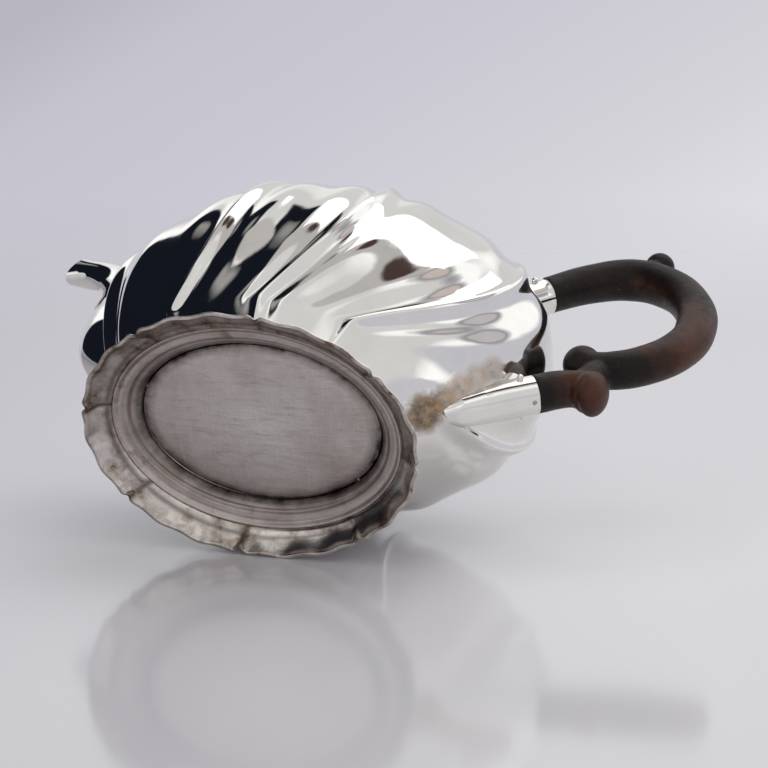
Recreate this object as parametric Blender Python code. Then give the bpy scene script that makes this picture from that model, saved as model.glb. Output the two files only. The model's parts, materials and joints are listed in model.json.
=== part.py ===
"""Oval silver teapot with eight swirling ribs, a fluted foot, a hinged lid and a carved wooden handle.

The pot stands upright on its foot at z = 0. The spout points to -X, the handle to +X, and the lid
opens about a hinge that lies along Y at the handle's side of the mouth. All sizes are in metres.
"""

import math

import bmesh
import bpy
from mathutils import Vector

# ---------------------------------------------------------------- driving dimensions
GAP = 0.0003  # clearance between two pieces that are soldered or fitted together

BODY_LENGTH = 0.164  # the belly, along X, between the flutes
BODY_WIDTH = 0.1175
BELLY_Z = 0.070  # height of the widest girth
BODY_FOOT_LENGTH = 0.088  # the bottom edge of the raised shell
BODY_FOOT_WIDTH = 0.058
BODY_FOOT_Z = 0.014
CROWN_RISE = 0.057  # from the belly to where the crown would close
MOUTH_LENGTH = 0.068
BODY_WALL = 0.0012

PANELS = 8
FLUTES = 3  # soft hollows in each panel
RIB_HEIGHT = 0.0016
RIB_HALF_WIDTH = 0.0022
FLUTE_DEPTH = 0.0014
RIB_START = math.radians(2)  # angle of the first rib at the bottom of the body
SWIRL = math.radians(34)  # how far the ribs turn on their way up
SWIRL_HEIGHT = 0.050  # the height over which most of the turn happens
RIB_CROWDING = 0.17  # moves the ribs towards the long flanks, as equal steps of girth do
FADE_LOW = 0.014  # the ribs grow to full height over this much above the body's bottom edge
FADE_HIGH = 0.022  # and fade out over this much below the mouth

FOOT_SPREAD = 0.016  # how far the foot runs out beyond the body's bottom edge, at its ends
FOOT_SPREAD_ACROSS = 0.015  # the same at the flanks
FOOT_EDGE = 0.0011  # thickness of the sheet at the foot's edge
SKIRT_RISE = 0.0084  # height of the fluted skirt
RING_SPREAD = 0.0078  # the moulded ring's share of the foot's spread, up to the skirt
RING_LOW_Z = 0.0064  # underside of the moulded ring, where the skirt meets it
NOTCH_START = math.radians(7)
NOTCH_DEPTH = 0.0018
NOTCH_HALF_WIDTH = 0.0016
SCALLOP = 0.0006

BASE_THICKNESS = 0.0012
BASE_PILLOW = 0.0014  # how far the base plate is domed downwards

RIM_HEIGHT = 0.0018
RIM_WIDTH = 0.0022
LID_OVERHANG = 0.0020
LID_RISE = 0.0165
LID_WALL = 0.0010
LID_FLANGE = 0.0030
BEZEL_DEPTH = 0.0055
BEZEL_WALL = 0.0009
BEZEL_CLEARANCE = 0.0006
VENT_RADIUS = 0.0010
VENT_FROM_MIDDLE = 0.0216  # towards the spout

HINGE_RADIUS = 0.0021
HINGE_PIN_RADIUS = 0.0008
HINGE_REACH = 0.0026  # from the lid's edge out to the hinge's axis
HINGE_PIN_END = 0.0005  # how far the pin stands out of the knuckles
LID_KNUCKLE_LENGTH = 0.0070
BODY_KNUCKLE_LENGTH = 0.0055
KNUCKLE_FOOT_THICKNESS = 0.0028
KNUCKLE_FOOT_DEPTH = 0.0080  # below the mouth, before the foot is cut to the crown
LEAF_LENGTH = 0.0026
LEAF_THICKNESS = 0.0008

FINIAL_RADIUS = 0.0072
FINIAL_HEIGHT = 0.0165
CUP_RADIUS = 0.0066
CUP_HEIGHT = 0.0032
CUP_STEM = 0.0022  # height of the cup's solid foot, on which the finial sits
STUD_RADIUS = 0.0014
STUD_IN_FINIAL = 0.0090
STUD_TAIL = 0.0012  # how far the stud runs on below its nut
NUT_RADIUS = 0.0042
NUT_HEIGHT = 0.0026
NUT_SEAT = 0.0004  # extra room above the nut, under the lid's curved inside

SPOUT_WALL = 0.0014
SPOUT_LIP = 0.0075  # how far the lower lip runs on past the upper one
STRAINER_HOLE_RADIUS = 0.0015
STRAINER_PITCH = 0.0046

SOCKET_RADIUS = 0.0066
SOCKET_WALL = 0.0011
TENON_LENGTH = 0.0095
PIN_RADIUS = 0.0008
PIN_HEAD_RADIUS = 0.0014
PIN_FROM_END = 0.0045  # how far from a socket's mouth its pin sits
SOCKET_ROOT = 0.0170  # how much of a socket's length is inside the body's outline, before it is cut
UPPER_SOCKET_BEHIND_HINGE = 0.0099  # where the upper socket's axis leaves the crown
UPPER_SOCKET_SLOPE = math.radians(50)
UPPER_SOCKET_STAND = 0.0195  # length of the upper socket's axis outside the crown
LOWER_SOCKET_DROP = 0.0277  # where the lower socket's axis leaves the body, below the belly
LOWER_SOCKET_SLOPE = math.radians(38)
LOWER_SOCKET_STAND = 0.0129

SCROLL_RADIUS = 0.0072  # thickest part of the handle's large scroll
STUB_RADIUS = 0.0064
JOINT_RADIUS = 0.0055  # the short neck that joins the two scrolls
SPUR_RADIUS = 0.0050
SPUR_KNOB_RADIUS = 0.0054
SCROLL_KNOB_RADIUS = 0.0066
LEAD_IN = 0.0030  # the wood runs straight this far out of a socket

# ---------------------------------------------------------------- sizes that follow from them
FOOT_LENGTH = BODY_FOOT_LENGTH + 2 * FOOT_SPREAD
FOOT_WIDTH = BODY_FOOT_WIDTH + 2 * FOOT_SPREAD_ACROSS
MOUTH_SHARE = MOUTH_LENGTH / BODY_LENGTH
MOUTH_Z = BELLY_Z + CROWN_RISE * math.sqrt(1 - MOUTH_SHARE**2)
MOUTH_WIDTH = BODY_WIDTH * MOUTH_SHARE
RIM_TOP_Z = MOUTH_Z + GAP + RIM_HEIGHT
LID_SEAT_Z = RIM_TOP_Z + GAP
LID_LENGTH = MOUTH_LENGTH + 2 * LID_OVERHANG
LID_WIDTH = MOUTH_WIDTH + 2 * LID_OVERHANG
LID_TOP_Z = LID_SEAT_Z + LID_WALL + LID_RISE
HINGE_X = LID_LENGTH / 2 + HINGE_REACH
HINGE_Z = LID_SEAT_Z + LID_WALL + GAP + LEAF_THICKNESS / 2
TENON_RADIUS = SOCKET_RADIUS - SOCKET_WALL - GAP
BELLY_FRONT = Vector((-BODY_LENGTH / 2, 0, BELLY_Z))
ACROSS = Vector((0, 1, 0))

SILVER = (0.80, 0.80, 0.79)
TARNISHED_SILVER = (0.42, 0.38, 0.35)
DARK_WOOD = (0.055, 0.035, 0.028)

PANEL_STEPS = (0, 1 / 24, 1 / 6, 1 / 3, 1 / 2, 2 / 3, 5 / 6, 23 / 24)
COLUMNS = [(panel, step) for panel in range(PANELS) for step in PANEL_STEPS]


# ---------------------------------------------------------------- scene and helpers
def clear_scene():
    for found in list(bpy.data.objects):
        bpy.data.objects.remove(found, do_unlink=True)


def material(name, colour, roughness, metallic):
    made = bpy.data.materials.new(name)
    made.use_nodes = True
    shader = made.node_tree.nodes["Principled BSDF"]
    shader.inputs["Base Color"].default_value = (*colour, 1)
    shader.inputs["Roughness"].default_value = roughness
    shader.inputs["Metallic"].default_value = metallic
    return made


def add_object(name, mesh, colour=SILVER, roughness=0.15, metallic=1.0):
    made = bpy.data.objects.new(name, mesh)
    bpy.context.scene.collection.objects.link(made)
    mesh.materials.append(material(name + "_finish", colour, roughness, metallic))
    mesh.shade_smooth()
    mesh.set_sharp_from_angle(angle=math.radians(40))
    return made


def skin(name, rings, closed=False, capped=True):
    """A mesh through rings of points, each ring turning the same way. Closed joins the last ring to
    the first; capped closes the two ends. Rings that turn left while they rise face outwards."""
    count = len(rings[0])
    points = [point for ring in rings for point in ring]
    faces = []
    for row in range(len(rings) - (0 if closed else 1)):
        below = row * count
        above = (row + 1) % len(rings) * count
        for column in range(count):
            beside = (column + 1) % count
            faces.append((below + column, below + beside, above + beside, above + column))
    if capped and not closed:
        faces.append(tuple(reversed(range(count))))
        faces.append(tuple(range(len(points) - count, len(points))))
    mesh = bpy.data.meshes.new(name)
    mesh.from_pydata(points, [], faces)
    if closed or capped:
        face_outwards(mesh)
    return mesh


def face_outwards(mesh):
    """Merges doubled points of a closed mesh and turns its faces outwards."""
    work = bmesh.new()
    work.from_mesh(mesh)
    bmesh.ops.remove_doubles(work, verts=work.verts, dist=1e-6)
    bmesh.ops.recalc_face_normals(work, faces=work.faces)
    work.to_mesh(mesh)
    work.free()


def as_tool(tool):
    """Marks an object as a cutter or a filler, which is no piece of the pot."""
    tool.hide_render = True
    tool.display_type = "WIRE"
    return tool


def boolean(target, operation, tool):
    cut = target.modifiers.new(operation.lower() + "_" + tool.name, "BOOLEAN")
    cut.operation = operation
    cut.object = tool
    cut.solver = "EXACT"


def thicken(target, wall):
    shell = target.modifiers.new("wall", "SOLIDIFY")
    shell.thickness = wall
    shell.offset = -1
    shell.use_even_offset = True


def rod_mesh(name, start, end, radius, end_radius=None, sides=16, rounding=0.0):
    """A round rod from start to end. Rounding chamfers both of its ends by that much."""
    axis = (end - start).normalized()
    across = axis.orthogonal().normalized()
    beside = axis.cross(across)
    last = radius if end_radius is None else end_radius
    stations = [(start, radius - rounding)]
    if rounding:
        stations += [(start + axis * rounding, radius), (end - axis * rounding, last)]
    stations.append((end, last - rounding))
    turns = [2 * math.pi * side / sides for side in range(sides)]
    rings = [
        [centre + (across * math.cos(turn) + beside * math.sin(turn)) * size for turn in turns]
        for centre, size in stations
    ]
    return skin(name, rings)


def ball_mesh(name, centre, radius, rows=8, sides=12):
    """A ball with two small flats at its poles."""
    rings = []
    for row in range(rows + 1):
        tilt = math.pi * (0.06 + 0.88 * row / rows)
        level = centre - Vector((0, 0, radius * math.cos(tilt)))
        turns = [2 * math.pi * side / sides for side in range(sides)]
        rings.append(
            [level + Vector((math.cos(turn), math.sin(turn), 0)) * radius * math.sin(tilt) for turn in turns]
        )
    return skin(name, rings)


def tube_mesh(name, route, bevel_resolution=2):
    """A round tube along a smooth curve. The route's points are (x, z, radius)."""
    curve = bpy.data.curves.new(name, "CURVE")
    curve.dimensions = "3D"
    curve.bevel_depth = 1.0
    curve.bevel_resolution = bevel_resolution
    curve.resolution_u = 4
    curve.use_fill_caps = True
    spline = curve.splines.new("BEZIER")
    spline.bezier_points.add(len(route) - 1)
    for point, (x, z, radius) in zip(spline.bezier_points, route):
        point.co = (x, 0, z)
        point.radius = radius
        point.handle_left_type = "AUTO"
        point.handle_right_type = "AUTO"
    holder = bpy.data.objects.new(name, curve)
    bpy.context.scene.collection.objects.link(holder)
    bpy.context.view_layer.update()
    mesh = bpy.data.meshes.new_from_object(holder.evaluated_get(bpy.context.evaluated_depsgraph_get()))
    bpy.data.objects.remove(holder, do_unlink=True)
    face_outwards(mesh)
    return mesh


# ---------------------------------------------------------------- the oval and its ribs
def oval_point(length, width, angle, z, out=0.0):
    """A point on an oval, moved out of it by `out` along its normal."""
    normal = Vector((math.cos(angle) / length, math.sin(angle) / width, 0)).normalized()
    return Vector((length / 2 * math.cos(angle), width / 2 * math.sin(angle), z)) + normal * out


def body_oval(z):
    """Length and width of the body's mean surface at a height."""
    if z < BELLY_Z:
        drop = ((BELLY_Z - z) / (BELLY_Z - BODY_FOOT_Z)) ** 2
        return (
            BODY_LENGTH - (BODY_LENGTH - BODY_FOOT_LENGTH) * drop,
            BODY_WIDTH - (BODY_WIDTH - BODY_FOOT_WIDTH) * drop,
        )
    share = math.sqrt(max(1e-6, 1 - ((z - BELLY_Z) / CROWN_RISE) ** 2))
    return BODY_LENGTH * share, BODY_WIDTH * share


def rib_angle(panel, step, z):
    """The angle of a point in a panel: step 0 is the rib that starts the panel, 1 the next rib."""
    turn = SWIRL * (1 - math.exp(-(z - BODY_FOOT_Z) / SWIRL_HEIGHT))
    even = RIB_START + turn + 2 * math.pi * (panel + step) / PANELS
    return even + RIB_CROWDING * math.sin(2 * even)


def panel_relief(step, panel_girth):
    """How far the surface stands out of the mean oval: a sharp rib, then soft hollows."""
    from_rib = min(step, 1 - step) * panel_girth
    rib = RIB_HEIGHT * math.exp(-((from_rib / RIB_HALF_WIDTH) ** 2))
    hollow = FLUTE_DEPTH * (1 - math.cos(2 * math.pi * FLUTES * step)) / 2
    return rib - hollow


def ease(share):
    share = min(1.0, max(0.0, share))
    return share * share * (3 - 2 * share)


def body_ring(z, out=0.0):
    length, width = body_oval(z)
    panel_girth = math.pi * (length + width) / 2 / PANELS
    strength = ease((z - BODY_FOOT_Z) / FADE_LOW) * ease((MOUTH_Z - z) / FADE_HIGH)
    ring = []
    for panel, step in COLUMNS:
        relief = strength * panel_relief(step, panel_girth)
        ring.append(oval_point(length, width, rib_angle(panel, step, z), z, out + relief))
    return ring


def body_heights():
    below = [BODY_FOOT_Z + (BELLY_Z - BODY_FOOT_Z) * row / 7 for row in range(7)]
    steepest = math.asin((MOUTH_Z - BELLY_Z) / CROWN_RISE)
    above = [BELLY_Z + CROWN_RISE * math.sin(steepest * row / 7) for row in range(8)]
    return below + above


ENVELOPES = {}


def body_envelope(clearance):
    """A solid filler of the body's outer shape and a little more, which cuts what is soldered to it."""
    if clearance not in ENVELOPES:
        rings = [body_ring(z, clearance) for z in body_heights()]
        lowest = [point - Vector((0, 0, clearance)) for point in rings[0]]
        highest = [point + Vector((0, 0, clearance)) for point in rings[-1]]
        name = "envelope_%d" % round(clearance * 1e5)
        filler = bpy.data.objects.new(name, skin(name, [lowest] + rings + [highest]))
        bpy.context.scene.collection.objects.link(filler)
        ENVELOPES[clearance] = as_tool(filler)
    return ENVELOPES[clearance]


def stay_outside_body(target, clearance=GAP):
    boolean(target, "DIFFERENCE", body_envelope(clearance))


def tool(mesh):
    made = bpy.data.objects.new(mesh.name, mesh)
    bpy.context.scene.collection.objects.link(made)
    return as_tool(made)


# ---------------------------------------------------------------- body, mouth and base
def make_body():
    shell = add_object("body", skin("body", [body_ring(z) for z in body_heights()], capped=False))
    thicken(shell, BODY_WALL)
    # seven strainer holes are drilled through the wall behind the spout
    places = [(0, 0)] + [
        (STRAINER_PITCH * math.cos(math.pi / 3 * turn), STRAINER_PITCH * math.sin(math.pi / 3 * turn))
        for turn in range(6)
    ]
    centre_z = BELLY_Z + SPOUT_ROUTE[3][1]
    for number, (y, z) in enumerate(places):
        start = Vector((-BODY_LENGTH, y, centre_z + z))
        end = Vector((0, y, centre_z + z))
        drill = rod_mesh("drill_%d" % number, start, end, STRAINER_HOLE_RADIUS, sides=8)
        boolean(shell, "DIFFERENCE", tool(drill))


def oval_band(name, length, width, section, colour=SILVER, roughness=0.15):
    """A band round an oval. The section's points are (out, z), turning left as seen along the band."""
    turns = [2 * math.pi * side / 48 for side in range(48)]
    rings = [[oval_point(length, width, turn, z, out) for turn in turns] for out, z in section]
    return add_object(name, skin(name, rings, closed=True), colour, roughness)


def make_mouth_rim():
    low = MOUTH_Z + GAP
    half = RIM_WIDTH / 2
    section = [
        (-half, low),
        (half, low),
        (half + 0.0003, (low + RIM_TOP_Z) / 2),
        (half, RIM_TOP_Z),
        (-half, RIM_TOP_Z),
    ]
    oval_band("mouth_rim", MOUTH_LENGTH, MOUTH_WIDTH, section)


def make_base_plate():
    inset = BODY_WALL + GAP
    length = BODY_FOOT_LENGTH - 2 * inset
    width = BODY_FOOT_WIDTH - 2 * inset
    turns = [2 * math.pi * side / 48 for side in range(48)]
    edge_z = BODY_FOOT_Z - BASE_THICKNESS / 2
    shares = (0.5, 0.86, 0.95, 1.0)
    lower = [(share, edge_z - BASE_PILLOW * (1 - share**8)) for share in shares]
    upper = [(share, z + BASE_THICKNESS) for share, z in reversed(lower)]
    rings = [
        [oval_point(length * share, width * share, turn, z) for turn in turns]
        for share, z in lower + upper
    ]
    add_object("base_plate", skin("base_plate", rings), TARNISHED_SILVER, 0.45)


# ---------------------------------------------------------------- foot
def foot_point(panel, step, spread, z, fluting):
    """A point of the foot. Spread 0 is the body's bottom oval and 1 the foot's edge, and fluting
    says how much of the notches and scallops this part of the foot takes."""
    length = BODY_FOOT_LENGTH + (FOOT_LENGTH - BODY_FOOT_LENGTH) * spread
    width = BODY_FOOT_WIDTH + (FOOT_WIDTH - BODY_FOOT_WIDTH) * spread
    angle = NOTCH_START + 2 * math.pi * (panel + step) / PANELS
    panel_girth = math.pi * (length + width) / 2 / PANELS
    from_notch = min(step, 1 - step) * panel_girth
    notch = NOTCH_DEPTH * math.exp(-((from_notch / NOTCH_HALF_WIDTH) ** 2))
    scallop = SCALLOP * math.cos(2 * math.pi * FLUTES * step)
    return oval_point(length, width, angle, z, fluting * (scallop - notch))


def foot_band(name, section, colour, roughness):
    rings = [
        [foot_point(panel, step, spread, z, fluting) for panel, step in COLUMNS]
        for spread, z, fluting in section
    ]
    return add_object(name, skin(name, rings, closed=True), colour, roughness)


def spread_of(out):
    """The spread of a point this far out of the body's bottom oval."""
    return out / FOOT_SPREAD


def make_foot():
    edge = FOOT_SPREAD
    skirt = [
        (spread_of(edge - FOOT_EDGE), 0.0, 1.0),
        (spread_of(edge), 0.0, 1.0),
        (spread_of(edge), FOOT_EDGE, 1.0),
        (spread_of((edge + RING_SPREAD) / 2 + 0.0006), SKIRT_RISE / 2, 0.7),
        (spread_of(RING_SPREAD + GAP + 0.0006), SKIRT_RISE, 0.0),
        (spread_of(RING_SPREAD + GAP), SKIRT_RISE, 0.0),
        (spread_of(RING_SPREAD + GAP), RING_LOW_Z - 0.0004, 0.0),
        (spread_of((edge + RING_SPREAD) / 2 - 0.0004), RING_LOW_Z / 2 - 0.0004, 0.7),
    ]
    foot_band("foot_skirt", skirt, SILVER, 0.2)
    ring = [
        (spread_of(-0.0006), BODY_FOOT_Z - 0.0016, 0.0),
        (spread_of(0.0026), BODY_FOOT_Z - 0.0054, 0.0),
        (spread_of(RING_SPREAD - 0.0012), RING_LOW_Z, 0.0),
        (spread_of(RING_SPREAD), RING_LOW_Z, 0.0),
        (spread_of(RING_SPREAD), SKIRT_RISE + 0.0006, 0.0),
        (spread_of(RING_SPREAD - 0.0020), SKIRT_RISE + 0.0028, 0.0),
        (spread_of(0.0046), BODY_FOOT_Z + 0.0022, 0.0),
        (spread_of(0.0006), BODY_FOOT_Z - 0.0005, 0.0),
    ]
    foot_band("foot_ring", ring, TARNISHED_SILVER, 0.4)


# ---------------------------------------------------------------- spout
# centre line and half-widths: how far before the front of the belly, how far above it, half-width
# across the pot, half-depth in the pot's own plane
SPOUT_ROUTE = (
    (-0.0240, -0.0300, 0.0080, 0.0080),
    (-0.0160, -0.0250, 0.0118, 0.0120),
    (-0.0080, -0.0160, 0.0134, 0.0150),
    (-0.0020, -0.0040, 0.0126, 0.0142),
    (0.0025, 0.0080, 0.0106, 0.0118),
    (0.0060, 0.0200, 0.0088, 0.0096),
    (0.0110, 0.0320, 0.0074, 0.0078),
    (0.0180, 0.0420, 0.0063, 0.0066),
    (0.0260, 0.0480, 0.0056, 0.0058),
    (0.0335, 0.0505, 0.0052, 0.0052),
)
SPOUT_SIDES = 16


def spout_rings(thinner):
    """Rings across the spout, thinner by this much all round."""
    centres = [BELLY_FRONT + Vector((-before, 0, above)) for before, above, _, _ in SPOUT_ROUTE]
    rings = []
    for number, (_, _, across, deep) in enumerate(SPOUT_ROUTE):
        before = centres[max(0, number - 1)]
        after = centres[min(len(centres) - 1, number + 1)]
        along = (after - before).normalized()
        front = Vector((-along.z, 0, along.x))
        ring = []
        for side in range(SPOUT_SIDES):
            turn = 2 * math.pi * side / SPOUT_SIDES
            ring.append(
                centres[number]
                + front * (deep - thinner) * math.cos(turn)
                + Vector((0, across - thinner, 0)) * math.sin(turn)
            )
        rings.append(ring)
    return rings, along


def make_spout():
    rings, along = spout_rings(0.0)
    rings.append(lip_ring(rings[-1], along, 1.0))
    spout = add_object("spout", skin("spout", rings))
    hollow, along = spout_rings(SPOUT_WALL)
    hollow.append(lip_ring(hollow[-1], along, 1.4))
    boolean(spout, "DIFFERENCE", tool(skin("spout_hollow", hollow)))
    stay_outside_body(spout)


def lip_ring(ring, along, reach):
    """The spout's mouth: the last ring pushed on, most at its lower lip."""
    centre = sum(ring, Vector()) / len(ring)
    depth = max((point - centre).length for point in ring)
    pushed = []
    for point in ring:
        lower = (centre.z - point.z) / depth
        pushed.append(point + along * SPOUT_LIP * reach * (0.55 + 0.45 * lower))
    return pushed


# ---------------------------------------------------------------- handle and its sockets
def direction(slope):
    return Vector((math.cos(slope), 0, math.sin(slope)))


def cut_pin_hole(target, centre, along):
    reach = along * SOCKET_RADIUS * 2
    name = "hole_%s_%s" % (target.name, round(centre.x * 1e4) + round(along.z))
    hole = rod_mesh(name, centre - reach, centre + reach, PIN_RADIUS + GAP, sides=10)
    boolean(target, "DIFFERENCE", tool(hole))


def make_pin(name, centre, along):
    """A pin through a socket with a ball head at each end."""
    reach = along * (SOCKET_RADIUS + PIN_HEAD_RADIUS)
    pin = add_object(name, rod_mesh(name, centre - reach, centre + reach, PIN_RADIUS, sides=10))
    for number, side in enumerate((-1, 1)):
        head = along * side * (SOCKET_RADIUS + PIN_HEAD_RADIUS + GAP)
        knob = ball_mesh("%s_head_%d" % (name, number), centre + head, PIN_HEAD_RADIUS, 5, 10)
        boolean(pin, "UNION", tool(knob))


def upper_socket_end():
    """The middle of the upper socket's mouth, where the wood goes in."""
    x = HINGE_X + UPPER_SOCKET_BEHIND_HINGE
    crown_z = BELLY_Z + CROWN_RISE * math.sqrt(1 - (2 * x / BODY_LENGTH) ** 2)
    return Vector((x, 0, crown_z)) + direction(UPPER_SOCKET_SLOPE) * UPPER_SOCKET_STAND


def lower_socket_end():
    """The middle of the lower socket's mouth."""
    z = BELLY_Z - LOWER_SOCKET_DROP
    length, _ = body_oval(z)
    return Vector((length / 2, 0, z)) + direction(LOWER_SOCKET_SLOPE) * LOWER_SOCKET_STAND


def make_upper_socket():
    along = direction(UPPER_SOCKET_SLOPE)
    end = upper_socket_end()
    start = end - along * (UPPER_SOCKET_STAND + SOCKET_ROOT)
    tube = rod_mesh("upper_socket", start, end, SOCKET_RADIUS, sides=20)
    socket = add_object("upper_socket", tube)
    bore = rod_mesh("upper_bore", start - along, end + along, SOCKET_RADIUS - SOCKET_WALL, sides=20)
    boolean(socket, "DIFFERENCE", tool(bore))
    centre = end - along * PIN_FROM_END
    cut_pin_hole(socket, centre, ACROSS)
    stay_outside_body(socket)
    make_pin("upper_pin", centre, ACROSS)


def make_lower_socket():
    along = direction(LOWER_SOCKET_SLOPE)
    end = lower_socket_end()
    tip = end - along * (LOWER_SOCKET_STAND + SOCKET_ROOT)
    route = [
        (tip.x - 0.0005, tip.z - 0.0035, 0.0012),
        (tip.x + 0.0035, tip.z + 0.0010, 0.0040),
        (end.x - along.x * 0.018, end.z - along.z * 0.018 - 0.0004, 0.0060),
        (end.x - along.x * 0.008, end.z - along.z * 0.008, SOCKET_RADIUS),
        (end.x, end.z, SOCKET_RADIUS),
    ]
    socket = add_object("lower_socket", tube_mesh("lower_socket", route, 3))
    deep = end - along * (TENON_LENGTH + GAP)
    bore = tool(rod_mesh("lower_bore", deep, end + along * TENON_LENGTH, TENON_RADIUS + GAP, sides=20))
    stay_outside_body(bore, GAP + SOCKET_WALL)
    boolean(socket, "DIFFERENCE", bore)
    centre = end - along * PIN_FROM_END
    cut_pin_hole(socket, centre, ACROSS)
    cut_rivet_hole(socket)
    stay_outside_body(socket)
    make_pin("lower_pin", centre, ACROSS)
    start, finish = rivet_ends()
    add_object("lower_rivet", rod_mesh("lower_rivet", start, finish, PIN_RADIUS, sides=10))


def rivet_ends():
    """The rivet that holds the wood from below, beside the lower socket's cross pin."""
    along = direction(LOWER_SOCKET_SLOPE)
    below = Vector((along.z, 0, -along.x))
    centre = lower_socket_end() - along * (PIN_FROM_END - 2 * PIN_RADIUS - 3 * GAP)
    return centre, centre + below * (SOCKET_RADIUS + GAP)


def cut_rivet_hole(target):
    start, finish = rivet_ends()
    down = (finish - start).normalized()
    name = target.name + "_rivet_hole"
    hole = rod_mesh(name, start - down * GAP, finish + down * SOCKET_RADIUS, PIN_RADIUS + GAP, sides=10)
    boolean(target, "DIFFERENCE", tool(hole))


# The scrolls' centre lines: x and z from a socket's mouth, then the radius as a share of the
# scroll's own. The large scroll starts at the upper socket and ends above the lower one.
SCROLL_FROM_UPPER = ((0.0125, 0.0130, 0.98), (0.0260, 0.0190, 1.06), (0.0400, 0.0145, 1.04))
SCROLL_FROM_LOWER = (
    (0.0317, 0.0803, 1.00),
    (0.0384, 0.0608, 1.00),
    (0.0377, 0.0443, 0.98),
    (0.0302, 0.0303, 0.95),
    (0.0192, 0.0223, 0.92),
    (0.0102, 0.0233, 0.84),
    (0.0057, 0.0298, 0.86),
)
STUB_FROM_LOWER = (
    (0.0057, 0.0048, 1.00),
    (0.0117, 0.0076, 0.96),
    (0.0177, 0.0058, 0.98),
    (0.0222, 0.0003, 1.00),
)


def beside(end, x, z):
    return end + Vector((x, 0, z))


def wood_route(end, along):
    """The first points of a wooden scroll, which leaves its socket straight."""
    start = end + along * GAP
    straight = start + along * LEAD_IN
    return [(start.x, start.z, SOCKET_RADIUS), (straight.x, straight.z, SOCKET_RADIUS)]


def make_handle():
    """One piece of wood: a large scroll, a small scroll from the lower socket, and a thumb spur."""
    upper = direction(UPPER_SOCKET_SLOPE)
    lower = direction(LOWER_SOCKET_SLOPE)
    upper_end = upper_socket_end()
    lower_end = lower_socket_end()
    scroll = wood_route(upper_end, upper)
    scroll += [(upper_end.x + x, upper_end.z + z, SCROLL_RADIUS * r) for x, z, r in SCROLL_FROM_UPPER]
    scroll += [(lower_end.x + x, lower_end.z + z, SCROLL_RADIUS * r) for x, z, r in SCROLL_FROM_LOWER]
    handle = add_object("handle", tube_mesh("handle", scroll, 3), DARK_WOOD, 0.45, 0.0)
    stub = wood_route(lower_end, lower)
    stub += [(lower_end.x + x, lower_end.z + z, STUB_RADIUS * r) for x, z, r in STUB_FROM_LOWER]
    inner_knob = beside(lower_end, 0.0052, 0.0306)
    outer_knob = beside(lower_end, 0.0230, -0.0012)
    joint_low = beside(lower_end, 0.0127, 0.0058)
    joint_high = beside(lower_end, 0.0172, 0.0218)
    spur_low = beside(upper_end, 0.0290, 0.0180)
    spur_high = beside(upper_end, 0.0322, 0.0310)
    spur_knob = spur_high + (spur_high - spur_low).normalized() * SPUR_KNOB_RADIUS / 4
    fillers = [
        tube_mesh("handle_stub", stub, 3),
        ball_mesh("handle_inner_knob", inner_knob, SCROLL_KNOB_RADIUS),
        ball_mesh("handle_outer_knob", outer_knob, SCROLL_KNOB_RADIUS),
        rod_mesh("handle_joint", joint_low, joint_high, JOINT_RADIUS),
        rod_mesh("handle_spur", spur_low, spur_high, SPUR_RADIUS * 1.2, SPUR_RADIUS * 0.8, sides=12),
        ball_mesh("handle_spur_knob", spur_knob, SPUR_KNOB_RADIUS),
    ]
    for end, along, name in ((upper_end, upper, "upper_tenon"), (lower_end, lower, "lower_tenon")):
        deep = end - along * (TENON_LENGTH - GAP)
        fillers.append(rod_mesh(name, deep, end + along * LEAD_IN, TENON_RADIUS, sides=16))
    for mesh in fillers:
        boolean(handle, "UNION", tool(mesh))
    stay_outside_body(handle, 2 * GAP + SOCKET_WALL)
    cut_pin_hole(handle, upper_end - upper * PIN_FROM_END, ACROSS)
    cut_pin_hole(handle, lower_end - lower * PIN_FROM_END, ACROSS)
    cut_rivet_hole(handle)


# ---------------------------------------------------------------- lid, hinge and finial
def lid_ring(share, z, strength):
    length = LID_LENGTH * share
    width = LID_WIDTH * share
    panel_girth = math.pi * (length + width) / 2 / PANELS
    return [
        oval_point(
            length,
            width,
            rib_angle(panel, step, z),
            z,
            strength * min(1.0, share * 1.4) * panel_relief(step, panel_girth),
        )
        for panel, step in COLUMNS
    ]


def make_lid():
    low = LID_SEAT_Z + LID_WALL
    flange_share = 1 - 2 * LID_FLANGE / LID_LENGTH
    hole_radius = STUD_RADIUS + GAP
    hole_share = 2 * hole_radius / LID_LENGTH
    rings = [lid_ring(1.0, low, 0.0), lid_ring(flange_share, low, 0.0)]
    for row in range(1, 7):
        tilt = math.pi / 2 * row / 6
        share = hole_share + (flange_share - hole_share) * math.cos(tilt)
        strength = math.sin(math.pi * min(1.0, row / 5)) * 0.6
        rings.append(lid_ring(share, low + LID_RISE * math.sin(tilt), strength))
    # the last ring is made the round hole for the finial's stud
    for point in rings[-1]:
        angle = math.atan2(point.y * LID_LENGTH, point.x * LID_WIDTH)
        point.x = hole_radius * math.cos(angle)
        point.y = hole_radius * math.sin(angle)
    lid = add_object("lid", skin("lid", rings, capped=False))
    thicken(lid, LID_WALL)
    vent_low = Vector((-VENT_FROM_MIDDLE, 0, LID_SEAT_Z))
    vent_high = Vector((-VENT_FROM_MIDDLE, 0, LID_TOP_Z + LID_RISE))
    vent = rod_mesh("vent", vent_low, vent_high, VENT_RADIUS, sides=10)
    boolean(lid, "DIFFERENCE", tool(vent))


def make_lid_bezel():
    outside = -RIM_WIDTH / 2 - BEZEL_CLEARANCE
    inside = outside - BEZEL_WALL
    top = LID_SEAT_Z - GAP
    section = [
        (inside, top - BEZEL_DEPTH),
        (outside, top - BEZEL_DEPTH),
        (outside, top),
        (inside, top),
    ]
    oval_band("lid_bezel", MOUTH_LENGTH, MOUTH_WIDTH, section)


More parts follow.
